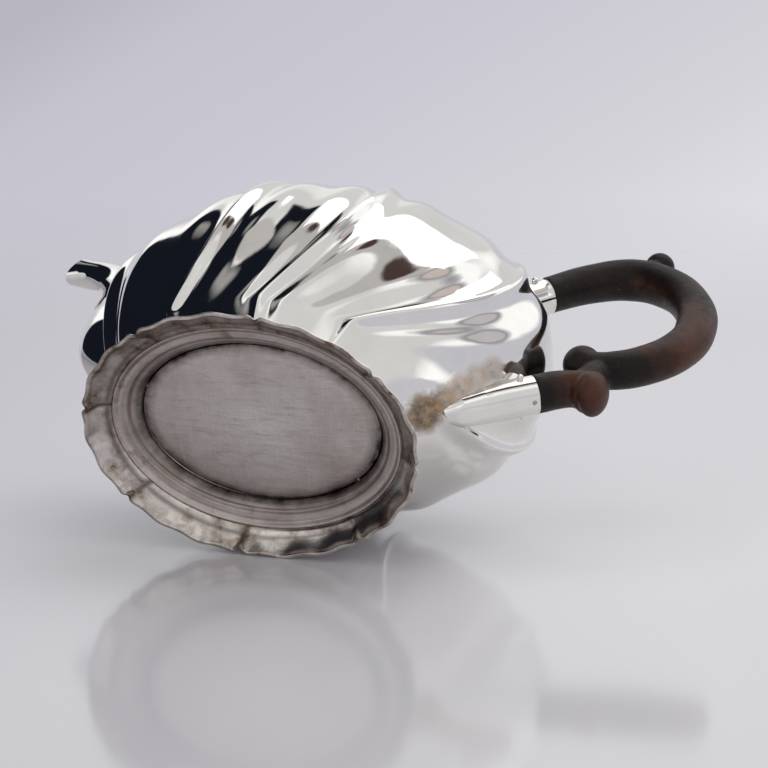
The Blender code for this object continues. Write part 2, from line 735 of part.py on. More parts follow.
def hinge_barrel(name, low_y, high_y):
    start = Vector((HINGE_X, low_y, HINGE_Z))
    return rod_mesh(name, start, Vector((HINGE_X, high_y, HINGE_Z)), HINGE_RADIUS, sides=16)


def block_mesh(name, low, high):
    corners = [(low.x, low.y), (high.x, low.y), (high.x, high.y), (low.x, high.y)]
    rings = [[Vector((x, y, z)) for x, y in corners] for z in (low.z, high.z)]
    return skin(name, rings)


def bore_for_hinge_pin(target):
    length = LID_KNUCKLE_LENGTH + 2 * BODY_KNUCKLE_LENGTH
    start = Vector((HINGE_X, -length, HINGE_Z))
    end = start + ACROSS * 2 * length
    bore = rod_mesh("bore_" + target.name, start, end, HINGE_PIN_RADIUS + GAP, sides=12)
    boolean(target, "DIFFERENCE", tool(bore))


def make_hinge():
    half = LID_KNUCKLE_LENGTH / 2
    lid_knuckle = add_object("lid_knuckle", hinge_barrel("lid_knuckle", -half, half))
    leaf_low = Vector((HINGE_X - HINGE_REACH - LEAF_LENGTH, -half, HINGE_Z - LEAF_THICKNESS / 2))
    leaf_high = Vector((HINGE_X - HINGE_PIN_RADIUS, half, HINGE_Z + LEAF_THICKNESS / 2))
    boolean(lid_knuckle, "UNION", tool(block_mesh("lid_leaf", leaf_low, leaf_high)))
    bore_for_hinge_pin(lid_knuckle)
    for side, name in ((-1, "body_knuckle_left"), (1, "body_knuckle_right")):
        near = half + GAP
        far = near + BODY_KNUCKLE_LENGTH
        low_y, high_y = sorted((side * near, side * far))
        knuckle = add_object(name, hinge_barrel(name, low_y, high_y))
        foot_low = Vector((HINGE_X - KNUCKLE_FOOT_THICKNESS / 2, low_y, MOUTH_Z - KNUCKLE_FOOT_DEPTH))
        foot_high = Vector((HINGE_X + KNUCKLE_FOOT_THICKNESS / 2, high_y, HINGE_Z))
        boolean(knuckle, "UNION", tool(block_mesh(name + "_foot", foot_low, foot_high)))
        bore_for_hinge_pin(knuckle)
        stay_outside_body(knuckle)
    reach = half + GAP + BODY_KNUCKLE_LENGTH + HINGE_PIN_END
    centre = Vector((HINGE_X, 0, HINGE_Z))
    pin = rod_mesh("hinge_pin", centre - ACROSS * reach, centre + ACROSS * reach, HINGE_PIN_RADIUS, sides=12)
    add_object("hinge_pin", pin)


def turned_mesh(name, outline, sides=16):
    """A turned piece about the pot's vertical axis. The outline's points are (radius, z), rising."""
    turns = [2 * math.pi * side / sides for side in range(sides)]
    rings = [
        [Vector((radius * math.cos(turn), radius * math.sin(turn), z)) for turn in turns]
        for radius, z in outline
    ]
    return skin(name, rings)


def make_finial():
    seat = LID_TOP_Z + GAP
    cup_outline = [
        (CUP_RADIUS * 0.62, seat),
        (CUP_RADIUS * 0.70, seat + CUP_STEM * 0.36),
        (CUP_RADIUS * 0.55, seat + CUP_STEM * 0.64),
        (CUP_RADIUS, seat + CUP_HEIGHT),
        (CUP_RADIUS * 0.82, seat + CUP_HEIGHT),
        (CUP_RADIUS * 0.50, seat + CUP_STEM),
    ]
    cup = add_object("finial_cup", turned_mesh("finial_cup", cup_outline))
    base = seat + CUP_STEM + GAP
    bud = [(0.92, 0.28), (1.00, 0.45), (0.88, 0.62), (0.55, 0.80), (0.34, 0.90), (0.20, 1.00)]
    bud_outline = [(CUP_RADIUS * 0.44, base), (CUP_RADIUS * 0.70, seat + CUP_HEIGHT)]
    bud_outline += [(FINIAL_RADIUS * wide, base + FINIAL_HEIGHT * high) for wide, high in bud]
    bud = add_object("finial", turned_mesh("finial", bud_outline), DARK_WOOD, 0.4, 0.0)
    nut_high = Vector((0, 0, LID_TOP_Z - LID_WALL - GAP - NUT_SEAT))
    nut_low = nut_high - Vector((0, 0, NUT_HEIGHT))
    nut = add_object("finial_nut", rod_mesh("finial_nut", nut_low, nut_high, NUT_RADIUS, sides=6))
    stud_low = nut_low - Vector((0, 0, STUD_TAIL))
    stud_high = Vector((0, 0, base + STUD_IN_FINIAL))
    stud = rod_mesh("finial_stud", stud_low, stud_high, STUD_RADIUS, sides=12, rounding=GAP)
    add_object("finial_stud", stud)
    hole_low = stud_low - Vector((0, 0, NUT_HEIGHT))
    hole_high = stud_high + Vector((0, 0, GAP))
    hole = tool(rod_mesh("stud_hole", hole_low, hole_high, STUD_RADIUS + GAP, sides=12))
    for piece in (cup, bud, nut):
        boolean(piece, "DIFFERENCE", hole)


LID_PIECES = ("lid", "lid_bezel", "lid_knuckle", "finial_cup", "finial", "finial_stud", "finial_nut")


def empty(name, place):
    made = bpy.data.objects.new(name, None)
    made.location = place
    bpy.context.scene.collection.objects.link(made)
    return made


def gather_pieces():
    """Hangs every piece on one empty, the lid's pieces by way of their hinge, and puts the middle
    of the pot's length at x = 0."""
    pieces = [found for found in bpy.data.objects if found.type == "MESH"]
    pot = empty("pot", (0, 0, 0))
    hinge = empty("lid_hinge", (HINGE_X, 0, HINGE_Z))
    hinge.parent = pot
    bpy.context.view_layer.update()
    for piece in pieces:
        piece.parent = hinge if piece.name in LID_PIECES else pot
        piece.matrix_parent_inverse = piece.parent.matrix_world.inverted()
    bpy.context.view_layer.update()
    graph = bpy.context.evaluated_depsgraph_get()
    ends = [
        corner[0]
        for piece in pieces
        if not piece.hide_render
        for corner in piece.evaluated_get(graph).bound_box
    ]
    pot.location.x = -(min(ends) + max(ends)) / 2


def make_pot():
    clear_scene()
    make_body()
    make_mouth_rim()
    make_base_plate()
    make_foot()
    make_spout()
    make_upper_socket()
    make_lower_socket()
    make_handle()
    make_lid()
    make_lid_bezel()
    make_hinge()
    make_finial()
    gather_pieces()


make_pot()
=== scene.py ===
# %% [markdown]
# # A silver teapot with swirling ribs
#
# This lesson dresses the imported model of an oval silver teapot. On the bench it is thin sheet silver,
# raised with hammers into an oval body with eight ribs that swirl upwards, on a fluted foot, with
# a hinged lid and a handle carved from dark wood. Mirror metal shows every flat facet, so each
# silver piece is made again here with a fine surface, on the same sizes as the model it stands for.

import json
import math

import bpy
import numpy as np
from mathutils import Matrix, Vector


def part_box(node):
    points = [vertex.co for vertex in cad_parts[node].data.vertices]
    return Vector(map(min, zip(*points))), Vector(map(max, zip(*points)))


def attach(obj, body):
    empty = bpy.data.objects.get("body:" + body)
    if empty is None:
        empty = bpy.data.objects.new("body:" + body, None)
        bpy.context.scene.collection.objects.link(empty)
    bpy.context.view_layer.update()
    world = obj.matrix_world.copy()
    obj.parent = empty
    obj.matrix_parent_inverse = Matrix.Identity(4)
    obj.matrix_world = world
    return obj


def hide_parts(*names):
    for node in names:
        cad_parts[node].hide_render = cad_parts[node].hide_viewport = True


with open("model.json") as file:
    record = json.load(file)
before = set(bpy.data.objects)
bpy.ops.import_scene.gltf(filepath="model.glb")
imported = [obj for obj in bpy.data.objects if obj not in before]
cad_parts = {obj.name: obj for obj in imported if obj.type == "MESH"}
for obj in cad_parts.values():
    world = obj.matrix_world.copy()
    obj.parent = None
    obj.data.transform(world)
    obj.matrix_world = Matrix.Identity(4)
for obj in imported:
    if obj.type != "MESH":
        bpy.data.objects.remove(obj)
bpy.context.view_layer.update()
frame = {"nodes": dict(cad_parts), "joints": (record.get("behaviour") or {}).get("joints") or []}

# %% [markdown]
# ## Places and sizes
#
# The pot's own middle is the middle of its foot and mouth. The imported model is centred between
# the spout and the handle instead, so that middle is read from the ring round the mouth. The
# other sizes are those of the design, in metres. Sizes that only one piece needs stand beside it.

# %% Sizes of the design
MIDDLE_X = sum(corner.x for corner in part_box("mouth_rim")) / 2
GAP = 0.0003

BODY_LENGTH = 0.164
BODY_WIDTH = 0.1175
BELLY_Z = 0.070
BODY_FOOT_LENGTH = 0.088
BODY_FOOT_WIDTH = 0.058
BODY_FOOT_Z = 0.014
CROWN_RISE = 0.057
MOUTH_LENGTH = 0.068
MOUTH_SHARE = MOUTH_LENGTH / BODY_LENGTH
MOUTH_WIDTH = BODY_WIDTH * MOUTH_SHARE
MOUTH_Z = BELLY_Z + CROWN_RISE * math.sqrt(1 - MOUTH_SHARE**2)
BODY_WALL = 0.0012

PANELS = 8
FLUTES = 3
RIB_START = math.radians(-3)  # the ribs stand straight up to SWIRL_FROM, then turn
SWIRL = math.radians(26)
SWIRL_FROM = 0.0245
SWIRL_HEIGHT = 0.017
RIB_CROWDING = 0.17

FOOT_LENGTH = 0.120
FOOT_WIDTH = 0.088
FOOT_SPREAD = (FOOT_LENGTH - BODY_FOOT_LENGTH) / 2
RING_SPREAD = 0.0078

HINGE = Vector(frame["joints"][0]["pos_m"])


def in_mm(places):
    return [round(1000 * place, 1) for place in places]


print("middle of the pot and hinge, mm:", in_mm([MIDDLE_X]), in_mm(HINGE))


# %% [markdown]
# ## Small helpers
#
# Blender's operators act on whatever is selected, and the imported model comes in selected. So every
# piece starts by clearing the selection. A finished piece keeps its object at the world's origin,
# with its place in its mesh.

# %% Helpers for objects
def clear_selection():
    if bpy.context.mode != "OBJECT":
        bpy.ops.object.mode_set(mode="OBJECT")
    bpy.ops.object.select_all(action="DESELECT")


def make_active(piece):
    clear_selection()
    piece.select_set(True)
    bpy.context.view_layer.objects.active = piece


def apply_place(piece):
    """Moves the object's place, turn and size into its mesh."""
    make_active(piece)
    bpy.ops.object.transform_apply(location=True, rotation=True, scale=True)


def apply_modifier(piece, kind, **settings):
    make_active(piece)
    modifier = piece.modifiers.new(kind.title(), kind)
    for name, value in settings.items():
        setattr(modifier, name, value)
    bpy.ops.object.modifier_apply(modifier=modifier.name)


def points_of(piece):
    """The piece's points as rows of x, y and z."""
    points = np.empty(len(piece.data.vertices) * 3, np.float32)
    piece.data.vertices.foreach_get("co", points)
    return points.reshape(-1, 3).astype(float)


def set_points(piece, points):
    piece.data.vertices.foreach_set("co", np.asarray(points, np.float32).ravel())
    piece.data.update()


def edit_all(piece):
    """Opens a piece for editing, with all of it selected."""
    make_active(piece)
    bpy.ops.object.mode_set(mode="EDIT")
    bpy.ops.mesh.select_all(action="SELECT")


def weld(piece, distance=1e-6, outwards=True):
    """Merges doubled points in edit mode, and turns the faces of a closed piece outwards."""
    edit_all(piece)
    bpy.ops.mesh.remove_doubles(threshold=distance)
    if outwards:
        bpy.ops.mesh.normals_make_consistent(inside=False)
    bpy.ops.object.mode_set(mode="OBJECT")


def finish_piece(piece, body, node, material, sharp=35):
    """Shades the piece, gives it its material, parents it to its body, and hides the model node it stands
    for.
    """
    apply_place(piece)
    piece.data.name = piece.name
    bpy.ops.object.shade_smooth_by_angle(angle=math.radians(sharp))
    piece.data.materials.clear()
    piece.data.materials.append(material)
    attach(piece, body)
    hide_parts(node)
    clear_selection()
    print(f"{piece.name}: {len(piece.data.polygons)} faces")


# %% [markdown]
# ## Colours and nodes
#
# Colours are written as they look on a screen, and turned to the linear light that Blender
# reckons with. One small function adds a node with its settings and links, so that a material
# reads as a list of what it is made of.

# %% Helpers for materials
def linear(hex_colour):
    """A screen colour, written in hex, as linear light."""
    parts = [int(hex_colour[i : i + 2], 16) / 255 for i in (1, 3, 5)]
    return tuple(p / 12.92 if p <= 0.04045 else ((p + 0.055) / 1.055) ** 2.4 for p in parts) + (1.0,)


def add_node(tree, kind, inputs=None, **settings):
    """Adds a shader node. An input is a number, a colour, or another node's output to link."""
    node = tree.nodes.new("ShaderNode" + kind)
    for name, value in settings.items():
        setattr(node, name, value)
    for name, value in (inputs or {}).items():
        if isinstance(value, bpy.types.NodeSocket):
            tree.links.new(value, node.inputs[name])
        else:
            node.inputs[name].default_value = value
    return node


def ramp(tree, factor, stops):
    """A colour ramp from (position, colour) pairs. A number stands for a grey."""
    node = add_node(tree, "ValToRGB", {"Fac": factor})
    elements = node.color_ramp.elements
    while len(elements) < len(stops):
        elements.new(0.5)
    for element, (position, colour) in zip(elements, stops):
        element.position = position
        element.color = linear(colour) if isinstance(colour, str) else (colour, colour, colour, 1)
    return node.outputs["Color"]


def math_node(tree, operation, first, second=0.0):
    made = add_node(tree, "Math", {0: first, 1: second}, operation=operation)
    return made.outputs["Value"]


def vector_node(tree, operation, inputs, output="Vector"):
    """A sum with vectors. Lengths, distances and dot products come out as a value."""
    return add_node(tree, "VectorMath", inputs, operation=operation).outputs[output]


def map_range(tree, value, start, end, first=0.0, last=1.0):
    """Carries a value from one range to another, and holds it at the ends."""
    inputs = {"Value": value, "From Min": start, "From Max": end, "To Min": first, "To Max": last}
    return add_node(tree, "MapRange", inputs).outputs["Result"]


def mixed(tree, factor, first, second):
    """A mix of two colours. Each is a hex colour or a socket."""
    node = add_node(tree, "Mix", data_type="RGBA")
    for socket, value in ((0, factor), (6, first), (7, second)):
        if isinstance(value, bpy.types.NodeSocket):
            tree.links.new(value, node.inputs[socket])
        else:
            node.inputs[socket].default_value = linear(value) if isinstance(value, str) else value
    return node.outputs[2]


def noise(tree, place, size, detail=2.0, roughness=0.5, squash=(1, 1, 1), turn=(0, 0, 0)):
    """Noise whose features are about this many metres across, squashed along the given axes."""
    inputs = {"Vector": place, "Scale": squash, "Rotation": turn}
    mapped = add_node(tree, "Mapping", inputs).outputs["Vector"]
    inputs = {"Vector": mapped, "Scale": 1 / size, "Detail": detail, "Roughness": roughness}
    return add_node(tree, "TexNoise", inputs).outputs["Fac"]


def new_material(name):
    """A new material, its node tree, its Principled shader and its Object coordinates."""
    made = bpy.data.materials.new(name)
    made.use_nodes = True
    tree = made.node_tree
    shader = tree.nodes["Principled BSDF"]
    place = add_node(tree, "TexCoord").outputs["Object"]
    return made, tree, shader, place


def cover(tree, shader, colour, rough, normal, metallic=1.0):
    """Gives a surface its colour, its roughness and its bumps."""
    shader.inputs["Metallic"].default_value = metallic
    for name, output in (("Base Color", colour), ("Roughness", rough), ("Normal", normal)):
        tree.links.new(output, shader.inputs[name])


# %% [markdown]
# ## The camera
#
# The pot lies on its flank on a table, with its foot turned to the viewer. The model stands
# upright, so it is the camera that lies over: it looks up at the foot from below, rolled to one
# side. A long lens from a metre away keeps the oval of the foot nearly free of perspective.

# %% Camera
AIM = Vector((MIDDLE_X + 0.0406, -0.0124, 0.0233))
VIEW_AZIMUTH = math.radians(40.69)
VIEW_ELEVATION = math.radians(-57.04)
VIEW_ROLL = math.radians(-40.71)
VIEW_DISTANCE = 1.0
LENS = 142.9

back = Vector(
    (
        math.sin(VIEW_AZIMUTH) * math.cos(VIEW_ELEVATION),
        -math.cos(VIEW_AZIMUTH) * math.cos(VIEW_ELEVATION),
        math.sin(VIEW_ELEVATION),
    )
)
camera_data = bpy.data.cameras.new("camera")
camera_data.lens = LENS
camera_data.sensor_width = 36
camera_data.clip_start = 0.05
camera = bpy.data.objects.new("camera", camera_data)
bpy.context.scene.collection.objects.link(camera)
level = (-back).to_track_quat("-Z", "Y").to_matrix()
roll = Matrix.Rotation(VIEW_ROLL, 3, -back)
camera.matrix_world = Matrix.Translation(AIM + back * VIEW_DISTANCE) @ (roll @ level).to_4x4()
bpy.context.scene.camera = camera
bpy.context.scene.view_settings.view_transform = "Standard"
print("camera at, mm:", in_mm(camera.matrix_world.translation))

# %% [markdown]
# ## The table
#
# The table is a pale, glossy sheet that touches the pot's foot and flank, so it mirrors the pot
# faintly at this low angle. It only shows from above and fades out at a distance, so it hides
# nothing in other views. Its colour is painted paler to the viewer's right, as painted light
# falling from that side.

# %% Table
TABLE_UP = Vector((-0.0174, -0.9651, 0.2614)).normalized()
TABLE_BELOW_FOOT = 0.0426
TABLE_FADE_START = 0.55
TABLE_FADE_END = 1.10
TABLE_SIZE = 2.4
# the table's colours, painted paler to the viewer's right: painted light as if more light fell there
TABLE_PAINTED_LIGHT_RAMP = [(0.34, "#dad8df"), (0.50, "#e8e7ec"), (0.64, "#f8f7fa")]

# directions as the viewer sees them, along the table
FORWARD = (-back - TABLE_UP * (-back).dot(TABLE_UP)).normalized()
RIGHT = FORWARD.cross(TABLE_UP).normalized()
POT_CENTRE = Vector((MIDDLE_X, 0, BELLY_Z))


def table_material():
    """Cast acrylic sheet, polished, see-through from below and far away, and painted paler to the right as
    painted light.
    """
    made, tree, shader, place = new_material("pale_acrylic_table")
    side = TABLE_UP.to_track_quat("Z", "X").inverted() @ RIGHT
    along = vector_node(tree, "DOT_PRODUCT", {0: place, 1: side}, "Value")
    # painted light: the colour grows paler along the table towards the viewer's right
    painted_right_light = ramp(tree, math_node(tree, "ADD", along, 0.5), TABLE_PAINTED_LIGHT_RAMP)
    tree.links.new(painted_right_light, shader.inputs["Base Color"])
    shader.inputs["Roughness"].default_value = 0.10
    distance = vector_node(tree, "LENGTH", {0: place}, "Value")
    near = map_range(tree, distance, TABLE_FADE_START, TABLE_FADE_END, 1.0, 0.0)
    behind = add_node(tree, "NewGeometry").outputs["Backfacing"]
    seen = math_node(tree, "MULTIPLY", near, math_node(tree, "SUBTRACT", 1.0, behind))
    clear = add_node(tree, "BsdfTransparent").outputs["BSDF"]
    mix = add_node(tree, "MixShader", {"Fac": seen, 1: clear, 2: shader.outputs["BSDF"]})
    tree.links.new(mix.outputs["Shader"], tree.nodes["Material Output"].inputs["Surface"])
    return made


clear_selection()
bpy.ops.mesh.primitive_circle_add(vertices=96, radius=TABLE_SIZE / 2, fill_type="NGON")
table = bpy.context.active_object
table.name = "table"
table.rotation_mode = "QUATERNION"
table.rotation_quaternion = TABLE_UP.to_track_quat("Z", "X")
table.location = Vector((MIDDLE_X, 0, 0)) - TABLE_UP * TABLE_BELOW_FOOT
table.data.materials.append(table_material())
print("table normal", [round(x, 3) for x in TABLE_UP])

# %% [markdown]
# ## The light
#
# Silver looks like what it mirrors, so the room matters more than any lamp. One broad, weak soft
# box above the pot gives the wood and the table their shading.

# %% Soft box
def seen_from_pot(right, up, forward):
    """A direction from the pot, in shares to the viewer's right, upwards, and away from the viewer."""
    return (RIGHT * right + TABLE_UP * up + FORWARD * forward).normalized()


SOFT_BOX_AT = seen_from_pot(0.30, 1.0, 0.35)
SOFT_BOX_DISTANCE = 1.0
soft_box = bpy.data.lights.new("soft_box_above", "AREA")
soft_box.shape = "RECTANGLE"
soft_box.size = 0.9
soft_box.size_y = 0.7
soft_box.energy = 1.6
lamp = bpy.data.objects.new("soft_box_above", soft_box)
bpy.context.scene.collection.objects.link(lamp)
lamp.location = POT_CENTRE + SOFT_BOX_AT * SOFT_BOX_DISTANCE
lamp.rotation_mode = "QUATERNION"
lamp.rotation_quaternion = SOFT_BOX_AT.to_track_quat("Z", "Y")
lamp.visible_camera = False
print("soft box at, mm:", in_mm(lamp.location))

# %% [markdown]
# The room is a few fields of light and dark, each set by its direction from the pot: pale lavender
# low down, a white tent of soft cloth above it, a dark doorway to the left, and a grey ceiling
# with the dark shape of the camera's boom straight above. The viewer sees only a plain backdrop.

# %% World
PALE = "#cdcdd6"
TENT_WHITE = 1.15
TENT_GREY = 0.62  # light of the tent where its cloth hangs in folds
TENT_FROM = 0.22
DARK_LEFT = seen_from_pot(-0.80, 0.52, 0.30)
DARK_HALF_WIDTH = 0.80
DARK_HALF_HEIGHT = 0.70
DARK_RIGHT_SIDE = DARK_LEFT.cross(TABLE_UP).normalized()
CEILING = seen_from_pot(-0.08, 1.0, 0.02)
CEILING_HALF_WIDTH = 0.42
CEILING_HALF_HEIGHT = 0.30
# fields on the right, as (direction, cosine to the rim, cosine to the core, rim, core)
RIGHT_FIELDS = (
    (seen_from_pot(0.50, 0.84, -0.20), 0.972, 0.986, "#8f8f96", "#cfc4c1"),
    (seen_from_pot(0.84, 0.46, -0.30), 0.955, 0.975, "#9c9ca4", "#c6c2c4"),
)
BOOM = seen_from_pot(0.10, 1.0, -0.04)
BOOM_COS = 0.9935
BACKDROP = [
    (0.12, "#b8b6c1"), (0.155, "#c5c3ce"), (0.20, "#c9c7d2"), (0.28, "#d4d3d9"), (0.33, "#e0dfe4")
]
BACKDROP_START = 0.135  # where the horizon lies on the backdrop's ramp
BACKDROP_LEAN = 0.60  # how much paler it gets to the right, against downwards


def dot_with(tree, vector, direction):
    return vector_node(tree, "DOT_PRODUCT", {0: vector, 1: direction}, "Value")


def card_share(tree, towards, centre, side, half_width, half_height, soft=0.03):
    """1 where a direction meets a flat card one unit away, and 0 beside it."""
    side = (side - centre * side.dot(centre)).normalized()
    top = side.cross(centre)
    facing = dot_with(tree, towards, centre)
    nearest = math_node(tree, "MAXIMUM", facing, 0.05)
    share = map_range(tree, facing, 0.05, 0.08)
    for direction, half in ((side, half_width), (top, half_height)):
        offset = math_node(tree, "DIVIDE", dot_with(tree, towards, direction), nearest)
        offset = math_node(tree, "ABSOLUTE", offset)
        inside = map_range(tree, offset, half - soft, half + soft, 1.0, 0.0)
        share = math_node(tree, "MULTIPLY", share, inside)
    return share


def studio_world():
    """The pale backdrop for the viewer, and the whole room for the silver to mirror."""
    world = bpy.data.worlds.new("studio")
    bpy.context.scene.world = world
    world.use_nodes = True
    tree = world.node_tree
    tree.nodes.clear()
    towards = add_node(tree, "TexCoord").outputs["Generated"]
    height = dot_with(tree, towards, TABLE_UP)
    tent = ramp(tree, height, [(TENT_FROM - 0.05, 0.0), (TENT_FROM + 0.05, 1.0)])
    folds = ramp(tree, noise(tree, towards, 0.8, 1.0), [(0.42, TENT_GREY), (0.54, 1.0)])
    white = vector_node(tree, "SCALE", {0: folds, "Scale": TENT_WHITE})
    room = mixed(tree, tent, PALE, white)
    dark_size = (DARK_HALF_WIDTH, DARK_HALF_HEIGHT)
    dark = card_share(tree, towards, DARK_LEFT, DARK_RIGHT_SIDE, *dark_size)
    doorway = ramp(tree, noise(tree, towards, 0.75, 1.0), [(0.56, "#141821"), (0.63, "#a2a2a0")])
    room = mixed(tree, dark, room, doorway)
    ceiling = card_share(tree, towards, CEILING, RIGHT, CEILING_HALF_WIDTH, CEILING_HALF_HEIGHT)
    room = mixed(tree, ceiling, room, "#c0bebd")
    for direction, rim_cos, core_cos, rim, core in RIGHT_FIELDS:
        facing = dot_with(tree, towards, direction)
        rim_share = ramp(tree, facing, [(rim_cos - 0.012, 0.0), (rim_cos + 0.012, 1.0)])
        core_share = ramp(tree, facing, [(core_cos - 0.003, 0.0), (core_cos + 0.003, 1.0)])
        room = mixed(tree, core_share, mixed(tree, rim_share, room, rim), core)
    boom = dot_with(tree, towards, BOOM)
    boom_share = ramp(tree, boom, [(BOOM_COS - 0.0015, 0.0), (BOOM_COS + 0.0015, 1.0)])
    room = mixed(tree, boom_share, room, "#4a3a38")
    sideways = math_node(tree, "MULTIPLY", dot_with(tree, towards, RIGHT), BACKDROP_LEAN)
    lower = math_node(tree, "ADD", math_node(tree, "MULTIPLY", height, -1.0), BACKDROP_START)
    seen = ramp(tree, math_node(tree, "ADD", lower, sideways), BACKDROP)
    camera_ray = add_node(tree, "LightPath").outputs["Is Camera Ray"]
    shade = add_node(tree, "Background", {"Color": mixed(tree, camera_ray, room, seen)})
    add_node(tree, "OutputWorld", {"Surface": shade.outputs["Background"]})


studio_world()

# %% [markdown]
# ## Materials
#
# Silver polished for two centuries keeps faint hammer waves and very fine wipe marks, and stays
# yellow-brown where solder and old polish sit. The underside is never polished, so it is a dull
# brown-grey with scratches. The wood is dark and worn to red-brown where a hand holds it.

# %% Helpers for surface marks
def bumps(tree, heights):
    """Chains bump nodes. Each is (height socket, strength, height in metres)."""
    normal = None
    for height, strength, distance in heights:
        inputs = {"Height": height, "Strength": strength, "Distance": distance}
        node = add_node(tree, "Bump", inputs)
        if normal:
            tree.links.new(normal, node.inputs["Normal"])
        normal = node.outputs["Normal"]
    return normal


def near_point(tree, place, point, reach):
    """1 at a point in the object's own space, falling to 0 at this distance from it."""
    apart = vector_node(tree, "DISTANCE", {0: place, 1: point}, "Value")
    return map_range(tree, apart, 0.0, reach, 1.0, 0.0)


# %% [markdown]
# Polished silver is nearly white and mirrors almost sharply. Its only marks are low hammer waves,
# fine wipes, and on the body a brown crust where the lower socket was soldered and repaired.

# %% Polished silver
# the places of old solder and of tarnish beside the lower socket: (place, reach, darkness)
SOLDER_SPOTS = (
    ((MIDDLE_X + 0.0530, -0.0030, 0.0240), 0.0105, 1.0),
    ((MIDDLE_X + 0.0575, -0.0060, 0.0290), 0.0080, 0.6),
    ((MIDDLE_X + 0.0620, -0.0080, 0.0340), 0.0075, 0.3),
    ((MIDDLE_X + 0.0662, -0.0095, 0.0390), 0.0075, 0.1),
    ((MIDDLE_X + 0.0700, -0.0105, 0.0445), 0.0070, 0.1),
)


def silver_material(name, stained):
    """Sterling or coin silver: raised or cast, planished, and polished with rouge."""
    made, tree, shader, place = new_material(name)
    patches = noise(tree, place, 0.018, 4.0, 0.6)
    wipes = noise(tree, place, 0.0012, 3.0, 0.6, squash=(1, 1, 0.12), turn=(0.4, 0.5, 0.2))
    clean = ramp(tree, patches, [(0.35, "#f1efeb"), (0.75, "#e6e4e0")])
    shine = ramp(tree, math_node(tree, "MULTIPLY", patches, wipes), [(0.10, 0.03), (0.45, 0.10)])
    stain = 0.0
    colour, rough = clean, shine
    if stained:
        speckle = noise(tree, place, 0.0035, 6.0, 0.7)
        for spot, reach, darkness in SOLDER_SPOTS:
            crust = math_node(tree, "MULTIPLY", near_point(tree, place, spot, reach), speckle)
            share = ramp(tree, crust, [(0.10, 0.0), (0.26, 0.45 + 0.45 * darkness)])
            tan_from = 0.44 + 0.25 * darkness
            brown = ramp(
                tree, speckle, [(0.36, "#3f322b"), (tan_from, "#b89a70"), (0.9, "#eadfc8")]
            )
            colour = mixed(tree, share, colour, brown)
            rough = math_node(tree, "MAXIMUM", rough, math_node(tree, "MULTIPLY", share, 0.5))
            stain = math_node(tree, "ADD", stain, share)
    waves = noise(tree, place, 0.020, 1.5)
    fine = noise(tree, place, 0.005, 2.0)
    normal = bumps(tree, [(waves, 0.5, 0.0008), (fine, 0.15, 0.0001), (stain, 0.4, 0.0002)])
    cover(tree, shader, colour, rough, normal)
    return made


# %% [markdown]
# The base plate and the moulded ring were never polished. Scratches run along the plate, turned
# lines run round the ring, and the groove between the two is painted nearly black as painted shade.

# %% Tarnished silver
def oval_distance(tree, place, length, width):
    """How far a point is from the foot's axis, as half its share of the oval of this size."""
    flat = vector_node(tree, "SUBTRACT", {0: place, 1: (MIDDLE_X, 0, 0)})
    scaled = vector_node(tree, "MULTIPLY", {0: flat, 1: (2 / length, 2 / width, 0)})
    reach = vector_node(tree, "LENGTH", {0: scaled}, "Value")
    # a ramp holds values from 0 to 1, so half the share is what the ramps read
    return math_node(tree, "MULTIPLY", reach, 0.5)


